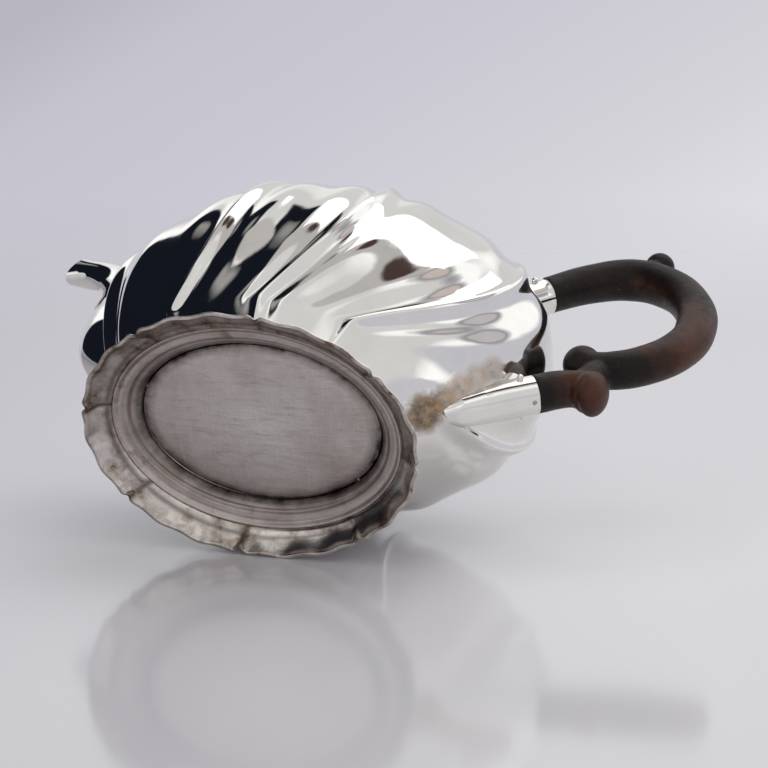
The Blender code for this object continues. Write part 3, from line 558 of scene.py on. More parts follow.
def tarnished_material():
    """Silver that was hammered and scraped but never polished, with tarnish spots on its ring and painted
    shade in its groove.
    """
    made, tree, shader, place = new_material("tarnished_silver")
    share = oval_distance(tree, place, BODY_FOOT_LENGTH, BODY_FOOT_WIDTH)
    clouds = noise(tree, place, 0.016, 6.0, 0.62)
    scratches = noise(tree, place, 0.0022, 6.0, 0.8, squash=(0.16, 1, 1), turn=(0, 0, 0.35))
    marks = noise(tree, place, 0.0012, 5.0, 0.8, squash=(1, 0.10, 1), turn=(0, 0, -0.25))
    round_oval = add_node(
        tree,
        "CombineXYZ",
        {"X": math_node(tree, "MULTIPLY", share, 90.0), "Y": math_node(tree, "MULTIPLY", clouds, 0.6)},
    ).outputs["Vector"]
    turned_lines = noise(tree, round_oval, 1.0, 5.0, 0.7)
    base = ramp(tree, clouds, [(0.28, "#aca098"), (0.50, "#c8beb9"), (0.74, "#d9d2cd")])
    # the middle of the plate is painted paler towards its centre: a painted sheen
    base = mixed(tree, ramp(tree, share, [(0.0, 0.75), (0.42, 0.0)]), base, "#f4eeea")
    lined = mixed(tree, ramp(tree, scratches, [(0.50, 0.0), (0.72, 0.40)]), base, "#84736a")
    lined = mixed(tree, ramp(tree, marks, [(0.56, 0.0), (0.72, 0.35)]), lined, "#efe9e4")
    on_ring = ramp(tree, share, [(0.48, 0.0), (0.53, 1.0)])
    rings = math_node(tree, "MULTIPLY", on_ring, ramp(tree, turned_lines, [(0.50, 0.0), (0.62, 0.62)]))
    lined = mixed(tree, rings, lined, "#84736a")
    # painted shade: the groove between the plate and the ring is painted nearly black, unevenly, and made
    # rougher
    groove_stops = (0.430, 0.0), (0.465, 0.55), (0.478, 1.0), (0.493, 1.0), (0.510, 0.6), (0.565, 0.0)
    groove = ramp(tree, share, groove_stops)
    uneven = ramp(tree, noise(tree, place, 0.010, 5.0, 0.65), [(0.32, 0.35), (0.60, 1.0)])
    painted_groove_shade = math_node(tree, "MULTIPLY", groove, uneven)
    stained = mixed(tree, painted_groove_shade, lined, "#33271e")
    blots = noise(tree, place, 0.011, 6.0, 0.7, squash=(1, 1.4, 1))
    spots = ramp(tree, blots, [(0.56, 0.0), (0.68, 0.60)])
    outer = ramp(tree, share, [(0.51, 0.0), (0.56, 1.0)])
    colour = mixed(tree, math_node(tree, "MULTIPLY", spots, outer), stained, "#6b5240")
    dullness = math_node(
        tree, "ADD", math_node(tree, "MULTIPLY", clouds, 0.7), math_node(tree, "MULTIPLY", painted_groove_shade, 0.3)
    )
    rough = ramp(tree, dullness, [(0.2, 0.34), (0.8, 0.62)])
    heights = [
        (clouds, 0.45, 0.0005),
        (scratches, 0.9, 0.00022),
        (marks, 0.7, 0.00016),
        (turned_lines, 0.35, 0.00025),
    ]
    cover(tree, shader, colour, rough, bumps(tree, heights))
    return made


# %% [markdown]
# The skirt's outside is polished with the body. Its underside is not, so the material asks which
# way each face looks. On the underside the creases and the skirt's inner edge are painted nearly
# black as painted shade, so it also reads where the creases lie.

# %% Skirt silver, polished outside and tarnished inside
def skirt_material():
    """The foot's skirt is polished on its flutes, tarnished where it turns inwards, and painted dark in its
    creases as painted shade.
    """
    made, tree, shader, place = new_material("foot_silver")
    blotches = noise(tree, place, 0.008, 6.0, 0.68)
    lines = noise(tree, place, 0.0012, 3.0, 0.7, squash=(1, 1, 0.3))
    normal = add_node(tree, "NewGeometry").outputs["True Normal"]
    under = ramp(tree, dot_with(tree, normal, (0, 0, -1)), [(0.10, 0.0), (0.55, 1.0)])
    dull = ramp(tree, blotches, [(0.34, "#6a5648"), (0.42, "#a69a90"), (0.56, "#cdc6c0"), (0.8, "#e2ddd8")])
    clean = ramp(tree, blotches, [(0.30, "#cfc9c2"), (0.60, "#e9e6e1")])
    # painted shade: on the underside the creases and the inner edge are painted nearly black
    crease = add_node(tree, "Attribute", attribute_name="crease").outputs["Fac"]
    painted_crease_shade = math_node(tree, "MULTIPLY", math_node(tree, "MULTIPLY", crease, 0.8), under)
    colour = mixed(tree, painted_crease_shade, mixed(tree, under, clean, dull), "#40332b")
    polish = ramp(tree, blotches, [(0.3, 0.16), (0.8, 0.06)])
    rough = math_node(tree, "ADD", math_node(tree, "MULTIPLY", under, 0.10), polish)
    cover(tree, shader, colour, rough, bumps(tree, [(blotches, 0.30, 0.0003), (lines, 0.20, 0.00008)]))
    return made


# %% [markdown]
# The wood keeps a tea drinker's fingers off the hot silver. Its black stain has worn through to
# brown where a hand holds it, and pale specks sit in its open pores.

# %% Dark wood
def wood_material():
    """Pearwood or another close-grained fruitwood, stained black, and worn brown by hands."""
    made, tree, shader, place = new_material("ebonised_fruitwood")
    grain = noise(tree, place, 0.0012, 5.0, 0.65, squash=(0.16, 1, 1), turn=(0, 0.5, 0))
    wear = noise(tree, place, 0.016, 5.0, 0.65)
    colour = ramp(tree, wear, [(0.42, "#130c0a"), (0.56, "#241712"), (0.72, "#4a2d20")])
    lined = mixed(tree, ramp(tree, grain, [(0.46, 0.0), (0.66, 0.55)]), colour, "#0a0706")
    # hands wore the stain off the outside of the scroll and off the lower stub
    outside = near_point(tree, place, (MIDDLE_X + 0.125, 0.004, 0.096), 0.040)
    stub_worn = near_point(tree, place, (MIDDLE_X + 0.104, -0.004, 0.050), 0.020)
    rubbed = math_node(tree, "MULTIPLY", math_node(tree, "MAXIMUM", outside, stub_worn), wear)
    worn = mixed(tree, ramp(tree, rubbed, [(0.12, 0.0), (0.46, 0.66)]), lined, "#5e392a")
    specks = ramp(tree, noise(tree, place, 0.0011, 4.0, 0.75), [(0.64, 0.0), (0.72, 0.55)])
    colour = mixed(tree, specks, worn, "#7a6c66")
    rough = ramp(tree, grain, [(0.3, 0.36), (0.7, 0.55)])
    shader.inputs["Specular IOR Level"].default_value = 0.24
    normal = bumps(tree, [(grain, 0.35, 0.0001), (wear, 0.2, 0.0004)])
    cover(tree, shader, colour, rough, normal, metallic=0.0)
    return made


SILVER = silver_material("polished_silver", stained=False)
BODY_SILVER = silver_material("polished_silver_with_old_solder", stained=True)
TARNISHED = tarnished_material()
SKIRT_SILVER = skirt_material()
WOOD = wood_material()
print("materials:", [made.name for made in bpy.data.materials if made.node_tree])

# %% [markdown]
# ## Working a sheet
#
# A silversmith raises a disc of sheet over stakes until it stands up as a body. The same is done
# here: a flat grid is laid down, every point of it is carried to its place by a formula, the
# seams are welded, and Solidify gives the sheet its thickness inwards. Operators alone can't
# give a wall whose ribs swirl and whose hollows fade, so the formula moves the points.

# %% Helpers for sheets
def shaped_sheet(name, around, along, shape, wall=0.0, closed=False):
    """A grid carried to a shape. The shape is a function of two arrays of shares, 0 to 1."""
    clear_selection()
    bpy.ops.mesh.primitive_grid_add(x_subdivisions=around, y_subdivisions=along, size=1)
    piece = bpy.context.active_object
    piece.name = name
    flat = points_of(piece) + 0.5
    set_points(piece, np.stack(shape(flat[:, 0], flat[:, 1]), axis=1))
    weld(piece, outwards=closed)
    if wall:
        apply_modifier(piece, "SOLIDIFY", thickness=wall, offset=-1, use_even_offset=True)
    return piece


def smooth_step(share):
    """Eases from 0 to 1."""
    share = np.clip(share, 0, 1)
    return share * share * (3 - 2 * share)


def along_curve(points, share, closed=False):
    """Points on a smooth curve through the given points, at shares of its length in steps."""
    points = np.asarray(points, float)
    count = len(points)
    steps = count if closed else count - 1
    place = np.clip(np.asarray(share) * steps, 0, steps - 1e-9)
    first = place.astype(int)
    part = (place - first)[:, None]
    if closed:
        before, start, end, after = (points[(first + k) % count] for k in (-1, 0, 1, 2))
    else:
        before, start, end, after = (points[np.clip(first + k, 0, count - 1)] for k in (-1, 0, 1, 2))
    return 0.5 * (
        2 * start
        + (end - before) * part
        + (2 * before - 5 * start + 4 * end - after) * part**2
        + (3 * start - before - 3 * end + after) * part**3
    )


def oval_place(length, width, angle, out=0.0):
    """x and y on an oval about the pot's middle, moved out along the oval's normal."""
    normal_x, normal_y = np.cos(angle) / length, np.sin(angle) / width
    size = np.hypot(normal_x, normal_y)
    x = MIDDLE_X + length / 2 * np.cos(angle) + out * normal_x / size
    return x, width / 2 * np.sin(angle) + out * normal_y / size


def side_at(outline, share, smooth, closed=False):
    """Points of an outline at these shares, along a smooth curve or along straight lines."""
    if smooth:
        return along_curve(outline, share, closed)
    loop = outline + outline[:1] if closed else outline
    steps = np.linspace(0, 1, len(loop))
    return np.stack([np.interp(share, steps, [p[k] for p in loop]) for k in (0, 1)], axis=1)


def oval_loop(name, length, width, section, around=240, rows=40, smooth=True):
    """A closed band round an oval, from a section of (out, z) points."""

    def shape(u, v):
        side = side_at(section, v, smooth, closed=True)
        x, y = oval_place(length, width, 2 * math.pi * u, side[:, 0])
        return x, y, side[:, 1]

    return shaped_sheet(name, around, rows, shape, closed=True)


def turned(name, outline, centre, axis=(0, 0, 1), around=64, rows=60, smooth=True):
    """A closed turned piece. The outline is (radius, height) from pole to pole."""
    turn = np.array(Vector(axis).to_track_quat("Z", "Y").to_matrix())

    def shape(u, v):
        side = side_at(outline, v, smooth)
        radius = np.maximum(side[:, 0], 0)
        around_axis = 2 * math.pi * u
        local = np.stack([radius * np.cos(around_axis), radius * np.sin(around_axis), side[:, 1]])
        return tuple((turn @ local) + np.array(centre)[:, None])

    return shaped_sheet(name, around, rows, shape, closed=True)


# %% [markdown]
# ## The body
#
# One sheet of silver, raised to an oval pot and then chased from inside and outside. Eight sharp
# ribs start upright at the foot and swirl as they climb. Between two ribs lie soft hollows. The
# columns of the grid crowd together at each rib, where the surface turns most.

# %% Body
RIB_HEIGHT = 0.0016
RIB_FLANK_BEFORE = 0.0014  # a rib is steep on one flank and eases off on the other
RIB_FLANK_AFTER = 0.0030
FLUTE_DEPTH = 0.0010
BULGE_SHIFT = 0.06
FADE_LOW = 0.014
FADE_HIGH = 0.022
BODY_AROUND = 400
BODY_ALONG = 104
RIB_COLUMNS_CROWD = 0.72


def body_oval(z):
    """Length and width of the body's mean surface at each height."""
    drop = (np.clip(BELLY_Z - z, 0, None) / (BELLY_Z - BODY_FOOT_Z)) ** 2
    share = np.sqrt(np.clip(1 - (np.clip(z - BELLY_Z, 0, None) / CROWN_RISE) ** 2, 1e-6, 1))
    length = (BODY_LENGTH - (BODY_LENGTH - BODY_FOOT_LENGTH) * drop) * share
    return length, (BODY_WIDTH - (BODY_WIDTH - BODY_FOOT_WIDTH) * drop) * share


def crowded_step(u):
    """The panel and the share of the way across it, with the columns crowded towards the ribs."""
    panel = np.floor(u * PANELS + 1e-9)
    even = u * PANELS - panel
    return panel, even - RIB_COLUMNS_CROWD * np.sin(2 * math.pi * even) / (2 * math.pi)


def rib_angle(turns, z):
    """The angle at this many panels from the first rib, at a height."""
    swirl = SWIRL * (1 - np.exp(-np.clip(z - SWIRL_FROM, 0, None) / SWIRL_HEIGHT))
    even = RIB_START + swirl + 2 * math.pi * turns / PANELS
    return even + RIB_CROWDING * np.sin(2 * even)


def panel_relief(step, panel_girth, z):
    """How far the surface stands out of the mean oval."""
    from_rib = np.minimum(step, 1 - step) * panel_girth
    half_width = np.where(step < 0.5, RIB_FLANK_AFTER, RIB_FLANK_BEFORE)
    rib = RIB_HEIGHT * np.exp(-((from_rib / half_width) ** 2))
    shifted = step + BULGE_SHIFT * np.sin(2 * math.pi * step)
    hollow = FLUTE_DEPTH * (1 - np.cos(2 * math.pi * FLUTES * shifted)) / 2
    depth = smooth_step((z - BODY_FOOT_Z) / 0.020)
    return rib - hollow * depth


def body_shape(out=0.0):
    """The formula of the body's outer surface, moved out by this much."""
    steepest = math.asin((MOUTH_Z - BELLY_Z) / CROWN_RISE)

    def shape(u, v):
        below = BODY_FOOT_Z + (BELLY_Z - BODY_FOOT_Z) * np.clip(2 * v, 0, 1)
        above = CROWN_RISE * np.sin(steepest * np.clip(2 * v - 1, 0, 1))
        z = below + above
        length, width = body_oval(z)
        panel, step = crowded_step(u)
        girth = math.pi * (length + width) / 2 / PANELS
        strength = smooth_step((z - BODY_FOOT_Z) / FADE_LOW) * smooth_step((MOUTH_Z - z) / FADE_HIGH)
        relief = out + strength * panel_relief(step, girth, z)
        x, y = oval_place(length, width, rib_angle(panel + step, z), relief)
        return x, y, z

    return shape


body = shaped_sheet("raised_body", BODY_AROUND, BODY_ALONG, body_shape(), wall=BODY_WALL)
finish_piece(body, "pot", "body", BODY_SILVER)

# %% [markdown]
# A plain solid of the body's outer shape, a little larger, is the cutter for everything that is
# soldered to it: the spout and the sockets of the handle. Its open mouth and foot are each closed
# by one face. It is deleted before the end.

# %% Cutter in the body's shape
cutter = shaped_sheet("body_cutter", 192, 56, body_shape(GAP / 2))
make_active(cutter)
bpy.ops.object.mode_set(mode="EDIT")
bpy.ops.mesh.select_all(action="DESELECT")
bpy.ops.mesh.select_non_manifold()
bpy.ops.mesh.edge_face_add()
bpy.ops.object.mode_set(mode="OBJECT")
weld(cutter, 1e-7)
cutter.hide_render = True
print("cutter faces:", len(cutter.data.polygons))


def cut_to_body(piece):
    """Takes away what would reach into the body."""
    apply_modifier(piece, "BOOLEAN", operation="DIFFERENCE", object=cutter, solver="EXACT")


# %% [markdown]
# ## The ring round the mouth
#
# A drawn wire of half-round section, soldered round the opening as a seat for the lid.

# %% Mouth ring
RIM_HEIGHT = 0.0018
RIM_WIDTH = 0.0022
rim_low = MOUTH_Z + GAP
rim_top = rim_low + RIM_HEIGHT
rim_half = RIM_WIDTH / 2
rim_section = [
    (-rim_half, rim_low),
    (rim_half, rim_low),
    (rim_half * 1.25, (rim_low + rim_top) / 2),
    (rim_half, rim_top),
    (-rim_half, rim_top),
]
mouth_rim = oval_loop("mouth_ring", MOUTH_LENGTH, MOUTH_WIDTH, rim_section)
finish_piece(mouth_rim, "pot", "mouth_rim", SILVER)

# %% [markdown]
# ## The base plate
#
# A flat oval sheet closes the body from below. It was hammered in tight, so it domes a little.
# The groove all round it is painted dark on the plate and the ring as painted shade.

# %% Base plate
BASE_THICKNESS = 0.0012
BASE_PILLOW = 0.0014


def base_shape(u, v):
    """The plate's lower face, with a few low dents from the hammer."""
    length = (BODY_FOOT_LENGTH - 2 * (BODY_WALL + GAP)) * v
    width = (BODY_FOOT_WIDTH - 2 * (BODY_WALL + GAP)) * v
    angle = 2 * math.pi * u
    x = MIDDLE_X + length / 2 * np.cos(angle)
    y = width / 2 * np.sin(angle)
    fall = BASE_PILLOW * (1 - v**8)
    dents = 0.00008 * (np.sin(x * 310 + 1) * np.sin(y * 270 + 2) + 0.6 * np.sin(x * 520 + y * 410))
    return x, y, BODY_FOOT_Z - BASE_THICKNESS / 2 - fall + dents * (1 - v**6)


base_plate = shaped_sheet("base_plate_oval", 160, 60, base_shape)
edit_all(base_plate)
bpy.ops.mesh.flip_normals()
bpy.ops.object.mode_set(mode="OBJECT")
apply_modifier(base_plate, "SOLIDIFY", thickness=BASE_THICKNESS, offset=-1)
finish_piece(base_plate, "pot", "base_plate", TARNISHED)

# %% [markdown]
# ## The foot
#
# The foot is two pieces. A moulded ring sits under the body, and a fluted skirt of sheet spreads
# out from it. The skirt is nipped in at eight places, each in line with a rib, and its edge waves
# three times between two nips.

# %% Foot
FOOT_EDGE = 0.0011
SKIRT_RISE = 0.0084
RING_LOW_Z = 0.0064
NOTCH_START = math.radians(7)
NOTCH_DEPTH = 0.0015
NOTCH_HALF_WIDTH = 0.0014
SCALLOP = 0.00042
EDGE_OUT = FOOT_SPREAD - FOOT_EDGE


def foot_shape(section):
    """The section's points are (out from the body's bottom oval, z, share of the fluting)."""

    def shape(u, v):
        side = along_curve(section, v, closed=True)
        spread, z, fluting = side[:, 0] / FOOT_SPREAD, side[:, 1], side[:, 2]
        length = BODY_FOOT_LENGTH + (FOOT_LENGTH - BODY_FOOT_LENGTH) * spread
        width = BODY_FOOT_WIDTH + (FOOT_WIDTH - BODY_FOOT_WIDTH) * spread
        panel, step = crowded_step(u)
        girth = math.pi * (length + width) / 2 / PANELS
        from_notch = np.minimum(step, 1 - step) * girth
        notch = NOTCH_DEPTH * np.exp(-((from_notch / NOTCH_HALF_WIDTH) ** 2))
        scallop = SCALLOP * np.cos(2 * math.pi * FLUTES * step)
        angle = NOTCH_START + 2 * math.pi * (panel + step) / PANELS
        x, y = oval_place(length, width, angle, fluting * (scallop - notch))
        # a notch is a crease that runs up the skirt, so it lifts the sheet there
        return x, y, z + 1.3 * notch * fluting * smooth_step((EDGE_OUT - side[:, 0]) / 0.003)

    return shape


edge = FOOT_SPREAD
skirt_middle = (edge + RING_SPREAD) / 2
skirt_section = [
    (edge - FOOT_EDGE, 0.0, 1.0),
    (edge - FOOT_EDGE / 2, -0.00002, 1.0),
    (edge, 0.0001, 1.0),
    (edge + 0.0001, FOOT_EDGE / 2, 1.0),
    (edge - 0.0004, FOOT_EDGE, 1.0),
    (skirt_middle + 0.0008, SKIRT_RISE / 2, 0.6),
    (RING_SPREAD + 0.0012, SKIRT_RISE, 0.1),
    (RING_SPREAD + 0.0003, SKIRT_RISE, 0.0),
    (RING_SPREAD + 0.0003, RING_LOW_Z - 0.0004, 0.1),
    (skirt_middle - 0.0008, RING_LOW_Z * 0.62, 0.35),
    (skirt_middle + 0.0018, RING_LOW_Z / 4, 0.7),
]
foot_skirt = shaped_sheet("fluted_skirt", 400, 60, foot_shape(skirt_section), closed=True)
# the creases and the skirt's inner edge are kept as a value at each point, where the material paints shade
places = points_of(foot_skirt)
out_x, out_y = (places[:, 0] - MIDDLE_X) / FOOT_LENGTH, places[:, 1] / FOOT_WIDTH
steps = (np.arctan2(out_y, out_x) - NOTCH_START) * PANELS / (2 * math.pi) % 1
from_crease = np.minimum(steps, 1 - steps)
inner_line = np.exp(-(((2 * np.hypot(out_x, out_y) - 0.885) / 0.014) ** 2))
crease = foot_skirt.data.attributes.new("crease", "FLOAT", "POINT")
creases = np.maximum(np.exp(-((from_crease / 0.035) ** 2)), 0.8 * inner_line)
crease.data.foreach_set("value", creases.astype(np.float32))
finish_piece(foot_skirt, "pot", "foot_skirt", SKIRT_SILVER)

ring_section = [
    (-0.0006, BODY_FOOT_Z - 0.0016),
    (0.0002, BODY_FOOT_Z - 0.0034),
    (0.0014, BODY_FOOT_Z - 0.0046),
    (0.0026, BODY_FOOT_Z - 0.0049),
    (0.0034, BODY_FOOT_Z - 0.0060),
    (0.0050, RING_LOW_Z + 0.0012),
    (RING_SPREAD - 0.0018, RING_LOW_Z + 0.0010),
    (RING_SPREAD - 0.0008, RING_LOW_Z),
    (RING_SPREAD, RING_LOW_Z),
    (RING_SPREAD, SKIRT_RISE + 0.0006),
    (RING_SPREAD - 0.0020, SKIRT_RISE + 0.0028),
    (0.0046, BODY_FOOT_Z + 0.0022),
    (0.0006, BODY_FOOT_Z - 0.0005),
]
ring_section = [(out, z, 0.0) for out, z in ring_section]  # the ring has no flutes
foot_ring = shaped_sheet("foot_moulding", 320, 104, foot_shape(ring_section), closed=True)
finish_piece(foot_ring, "pot", "foot_ring", TARNISHED)

# %% [markdown]
# ## The spout
#
# Two halves of sheet are shaped over stakes and soldered into one tube that swells at its root like
# a pouch and ends in a lip like a beak. It is cut to the body's shape at its root.

# %% Spout
SPOUT_WALL = 0.0010
SPOUT_LIP = 0.0075
SPOUT_LIP_DROOP = 0.0020
SPOUT_LIP_NARROWING = 0.30
SPOUT_TUBE_SHARE = 0.94  # of the rows, and the lip begins a little before the tube ends
SPOUT_LIP_FROM = 0.90
# how far before the front of the belly, how far above it, half-width across, half-depth
SPOUT_ROUTE = (
    (-0.0270, -0.0300, 0.0080, 0.0080),
    (-0.0190, -0.0250, 0.0118, 0.0116),
    (-0.0112, -0.0160, 0.0134, 0.0138),
    (-0.0050, -0.0040, 0.0124, 0.0134),
    (0.0002, 0.0080, 0.0104, 0.0116),
    (0.0045, 0.0200, 0.0086, 0.0096),
    (0.0100, 0.0320, 0.0072, 0.0078),
    (0.0170, 0.0415, 0.0060, 0.0064),
    (0.0250, 0.0468, 0.0050, 0.0050),
    (0.0325, 0.0490, 0.0045, 0.0040),
)
belly_front = np.array((MIDDLE_X - BODY_LENGTH / 2, BELLY_Z))


def spout_shape(u, v):
    """The spout's outer surface, from its root to its lip."""
    tube = np.clip(v / SPOUT_TUBE_SHARE, 0, 1)
    lip = smooth_step((v - SPOUT_LIP_FROM) / (1 - SPOUT_LIP_FROM))
    side = along_curve(SPOUT_ROUTE, tube)
    ends = [along_curve(SPOUT_ROUTE, np.clip(tube + step, 0, 1)) for step in (-0.01, 0.01)]
    ahead = ends[1] - ends[0]
    slope_x, slope_z = -ahead[:, 0], ahead[:, 1]
    size = np.hypot(slope_x, slope_z)
    slope_x, slope_z = slope_x / size, slope_z / size
    turn = 2 * math.pi * u
    deep = side[:, 3] * np.cos(turn)
    across = side[:, 2] * np.sin(turn)
    x = belly_front[0] - side[:, 0] - slope_z * deep
    z = belly_front[1] + side[:, 1] + slope_x * deep
    lower = -slope_x * np.cos(turn)
    push = lip * SPOUT_LIP * (0.55 + 0.45 * lower)
    # the lower half of the lip draws in to a beak and droops
    beak = lip * np.clip(lower, 0, 1)
    across = across * (1 - SPOUT_LIP_NARROWING * beak)
    return x + slope_x * push, across, z + slope_z * push - SPOUT_LIP_DROOP * beak


spout = shaped_sheet("beaked_spout", 96, 150, spout_shape)
apply_modifier(spout, "SOLIDIFY", thickness=SPOUT_WALL, offset=-1)
cut_to_body(spout)
finish_piece(spout, "pot", "spout", SILVER)

# %% [markdown]
# ## The handle's sockets
#
# Silver does not burn the hand only because the handle is wood. Two sockets hold it: a round tube
# high on the crown, and below it a tube that runs out over the body as a leaf with a blunt tip.
# A pin with a ball at each end goes through each socket and the wood.

# %% Sockets
SOCKET_RADIUS = 0.0066
SOCKET_WALL = 0.0011
TENON_LENGTH = 0.0095
PIN_RADIUS = 0.0008
PIN_HEAD_RADIUS = 0.0012
PIN_FROM_END = 0.0045
SOCKET_ROOT = 0.0170
LEAF_FLAT = 0.0061  # from the lower socket's axis to its flattened underside
UPPER_SLOPE = math.radians(50)
LOWER_SLOPE = math.radians(38)
UPPER_BEHIND_HINGE = 0.0099
LOWER_BELOW_BELLY = 0.0277
UPPER_STAND = 0.0195
LOWER_STAND = 0.0129


def slope_direction(slope):
    """The way a socket points, at this slope above level."""
    return Vector((math.cos(slope), 0, math.sin(slope)))


upper = slope_direction(UPPER_SLOPE)
lower = slope_direction(LOWER_SLOPE)
upper_x = HINGE.x - MIDDLE_X + UPPER_BEHIND_HINGE
crown_z = BELLY_Z + CROWN_RISE * math.sqrt(1 - (2 * upper_x / BODY_LENGTH) ** 2)
upper_end = Vector((MIDDLE_X + upper_x, 0, crown_z)) + upper * UPPER_STAND
lower_z = BELLY_Z - LOWER_BELOW_BELLY
lower_x = float(body_oval(np.array(lower_z))[0]) / 2
lower_end = Vector((MIDDLE_X + lower_x, 0, lower_z)) + lower * LOWER_STAND
print("socket ends, mm:", in_mm(upper_end), in_mm(lower_end))

upper_length = UPPER_STAND + SOCKET_ROOT
inner = SOCKET_RADIUS - SOCKET_WALL
tube_outline = [
    (inner, 0),
    (SOCKET_RADIUS, 0),
    (SOCKET_RADIUS, upper_length - 0.0008),
    (SOCKET_RADIUS + 0.0002, upper_length - 0.0003),
    (SOCKET_RADIUS, upper_length),
    (inner, upper_length),
    (inner, 0),
]
upper_root = upper_end - upper * upper_length
upper_socket = turned("upper_socket_tube", tube_outline, upper_root, upper, rows=96, smooth=False)
cut_to_body(upper_socket)
finish_piece(upper_socket, "pot", "upper_socket", SILVER)


def route_tube(name, route, resolution=16, bevel=10):
    """A round tube along a smooth curve through (x, z, radius) points."""
    clear_selection()
    bpy.ops.curve.primitive_bezier_curve_add()
    curve = bpy.context.active_object
    curve.name = name
    spline = curve.data.splines[0]
    spline.bezier_points.add(len(route) - 2)
    for point, (x, z, radius) in zip(spline.bezier_points, route):
        point.co = (x, 0, z)
        point.radius = radius
        point.handle_left_type = point.handle_right_type = "AUTO"
    curve.data.bevel_depth = 1.0
    curve.data.bevel_resolution = bevel
    curve.data.resolution_u = resolution
    curve.data.use_fill_caps = True
    bpy.ops.object.convert(target="MESH")
    piece = bpy.context.active_object
    weld(piece)
    return piece


lower_tip = lower_end - lower * (LOWER_STAND + SOCKET_ROOT)
leaf_route = [
    (lower_tip.x - 0.0026, lower_tip.z - 0.0042, 0.0006),
    (lower_tip.x - 0.0014, lower_tip.z - 0.0031, 0.0034),
    (lower_tip.x + 0.0035, lower_tip.z + 0.0012, 0.0058),
    (lower_end.x - lower.x * 0.018, lower_end.z - lower.z * 0.018 - 0.0004, 0.0064),
    (lower_end.x - lower.x * 0.008, lower_end.z - lower.z * 0.008, SOCKET_RADIUS),
    (lower_end.x, lower_end.z, SOCKET_RADIUS),
]
lower_socket = route_tube("lower_socket_leaf", leaf_route, 24, 14)
# hammer the underside flat: points further below the axis than the flat move up to it
below = np.array((lower.z, 0, -lower.x))
points = points_of(lower_socket)
depth = (points - np.array(lower_end)) @ below
flat = LEAF_FLAT
over = np.clip(depth - flat, 0, None)
set_points(lower_socket, points - over[:, None] * 0.8 * below)
clear_selection()
bpy.ops.mesh.primitive_cylinder_add(vertices=48, radius=inner, depth=2 * TENON_LENGTH)
bore = bpy.context.active_object
bore.rotation_mode = "QUATERNION"
bore.rotation_quaternion = lower.to_track_quat("Z", "Y")
bore.location = lower_end
apply_place(bore)
apply_modifier(lower_socket, "BOOLEAN", operation="DIFFERENCE", object=bore, solver="EXACT")
cut_to_body(lower_socket)
finish_piece(lower_socket, "pot", "lower_socket", SILVER, sharp=50)
bpy.data.objects.remove(bore, do_unlink=True)

# %% [markdown]
# ## The pins
#
# Each cross pin is a drawn wire, riveted over at both ends into a small ball. A short rivet holds
# the wood from below as well. They are turned shapes.

# %% Pins
ball_at = SOCKET_RADIUS + PIN_HEAD_RADIUS * 0.45


def pin_outline():
    """Half of a pin's outline, as a ball at each end of a thin rod."""
    tilts = [math.pi * k / 12 for k in range(13)]
    ball = [(PIN_HEAD_RADIUS * math.sin(t), -ball_at - PIN_HEAD_RADIUS * math.cos(t)) for t in tilts[:10]]
    rod = [(PIN_RADIUS, -ball_at + PIN_HEAD_RADIUS), (PIN_RADIUS, ball_at - PIN_HEAD_RADIUS)]
    return ball + rod + [(radius, -height) for radius, height in reversed(ball)]


for name, node, end, along in (
    ("upper_ball_pin", "upper_pin", upper_end, upper),
    ("lower_ball_pin", "lower_pin", lower_end, lower),
):
    pin = turned(name, pin_outline(), end - along * PIN_FROM_END, (0, 1, 0), 32, 84, smooth=False)
    finish_piece(pin, "pot", node, SILVER, sharp=60)

rivet_at = lower_end - lower * (PIN_FROM_END - 2 * PIN_RADIUS - 3 * GAP)
rivet_down = Vector((lower.z, 0, -lower.x))
rivet_length = flat + 0.2 * (SOCKET_RADIUS - flat) + 0.0004
rivet_outline = [
    (0, 0),
    (PIN_RADIUS, 0),
    (PIN_RADIUS, rivet_length - 0.0003),
    (PIN_RADIUS * 0.7, rivet_length),
    (0, rivet_length + 0.0001),
]
rivet = turned("socket_rivet", rivet_outline, rivet_at, rivet_down, 24, 32, smooth=False)
finish_piece(rivet, "pot", "lower_rivet", TARNISHED)

# %% [markdown]
# ## The handle
#
# Carved from one block of close-grained wood. A large scroll leaves the upper socket, runs out and
# down, and curls in above the lower socket. A short second scroll comes out of the lower socket
# and ends in a cap. A spur for the thumb stands on top. On the bench these are carved from a
# sawn outline; here tubes and balls are joined, and a voxel remesh fuses them as one block.

# %% Handle
SCROLL_RADIUS = 0.0072
STUB_RADIUS = 0.0064
LEAD_IN = 0.0030
WOOD_VOXEL = 0.00055
SCROLL_FROM_UPPER = ((0.0125, 0.0130, 0.98), (0.0260, 0.0190, 1.06), (0.0400, 0.0145, 1.04))
SCROLL_FROM_LOWER = (
    (0.0317, 0.0803, 1.00),
    (0.0384, 0.0608, 1.00),
    (0.0377, 0.0443, 0.98),
    (0.0302, 0.0303, 0.95),
    (0.0210, 0.0236, 0.92),
    (0.0140, 0.0228, 0.86),
    (0.0092, 0.0250, 0.88),
)
STUB_FROM_LOWER = (
    (0.0057, 0.0046, 1.02),
    (0.0110, 0.0066, 0.97),
    (0.0152, 0.0062, 1.04),
    (0.0178, 0.0050, 1.16),
)


def beside(end, x, z):
    """A place this far out and up from a socket's end."""
    return end + Vector((x, 0, z))


def wood_start(end, along):
    """The wood's route from its tenon, straight through the socket's mouth."""
    tenon = SOCKET_RADIUS - SOCKET_WALL - GAP
    places = (
        (-TENON_LENGTH + GAP, tenon),
        (-GAP, tenon),
        (GAP, SOCKET_RADIUS),
        (LEAD_IN, SOCKET_RADIUS),
    )
    return [((end + along * step).x, (end + along * step).z, radius) for step, radius in places]


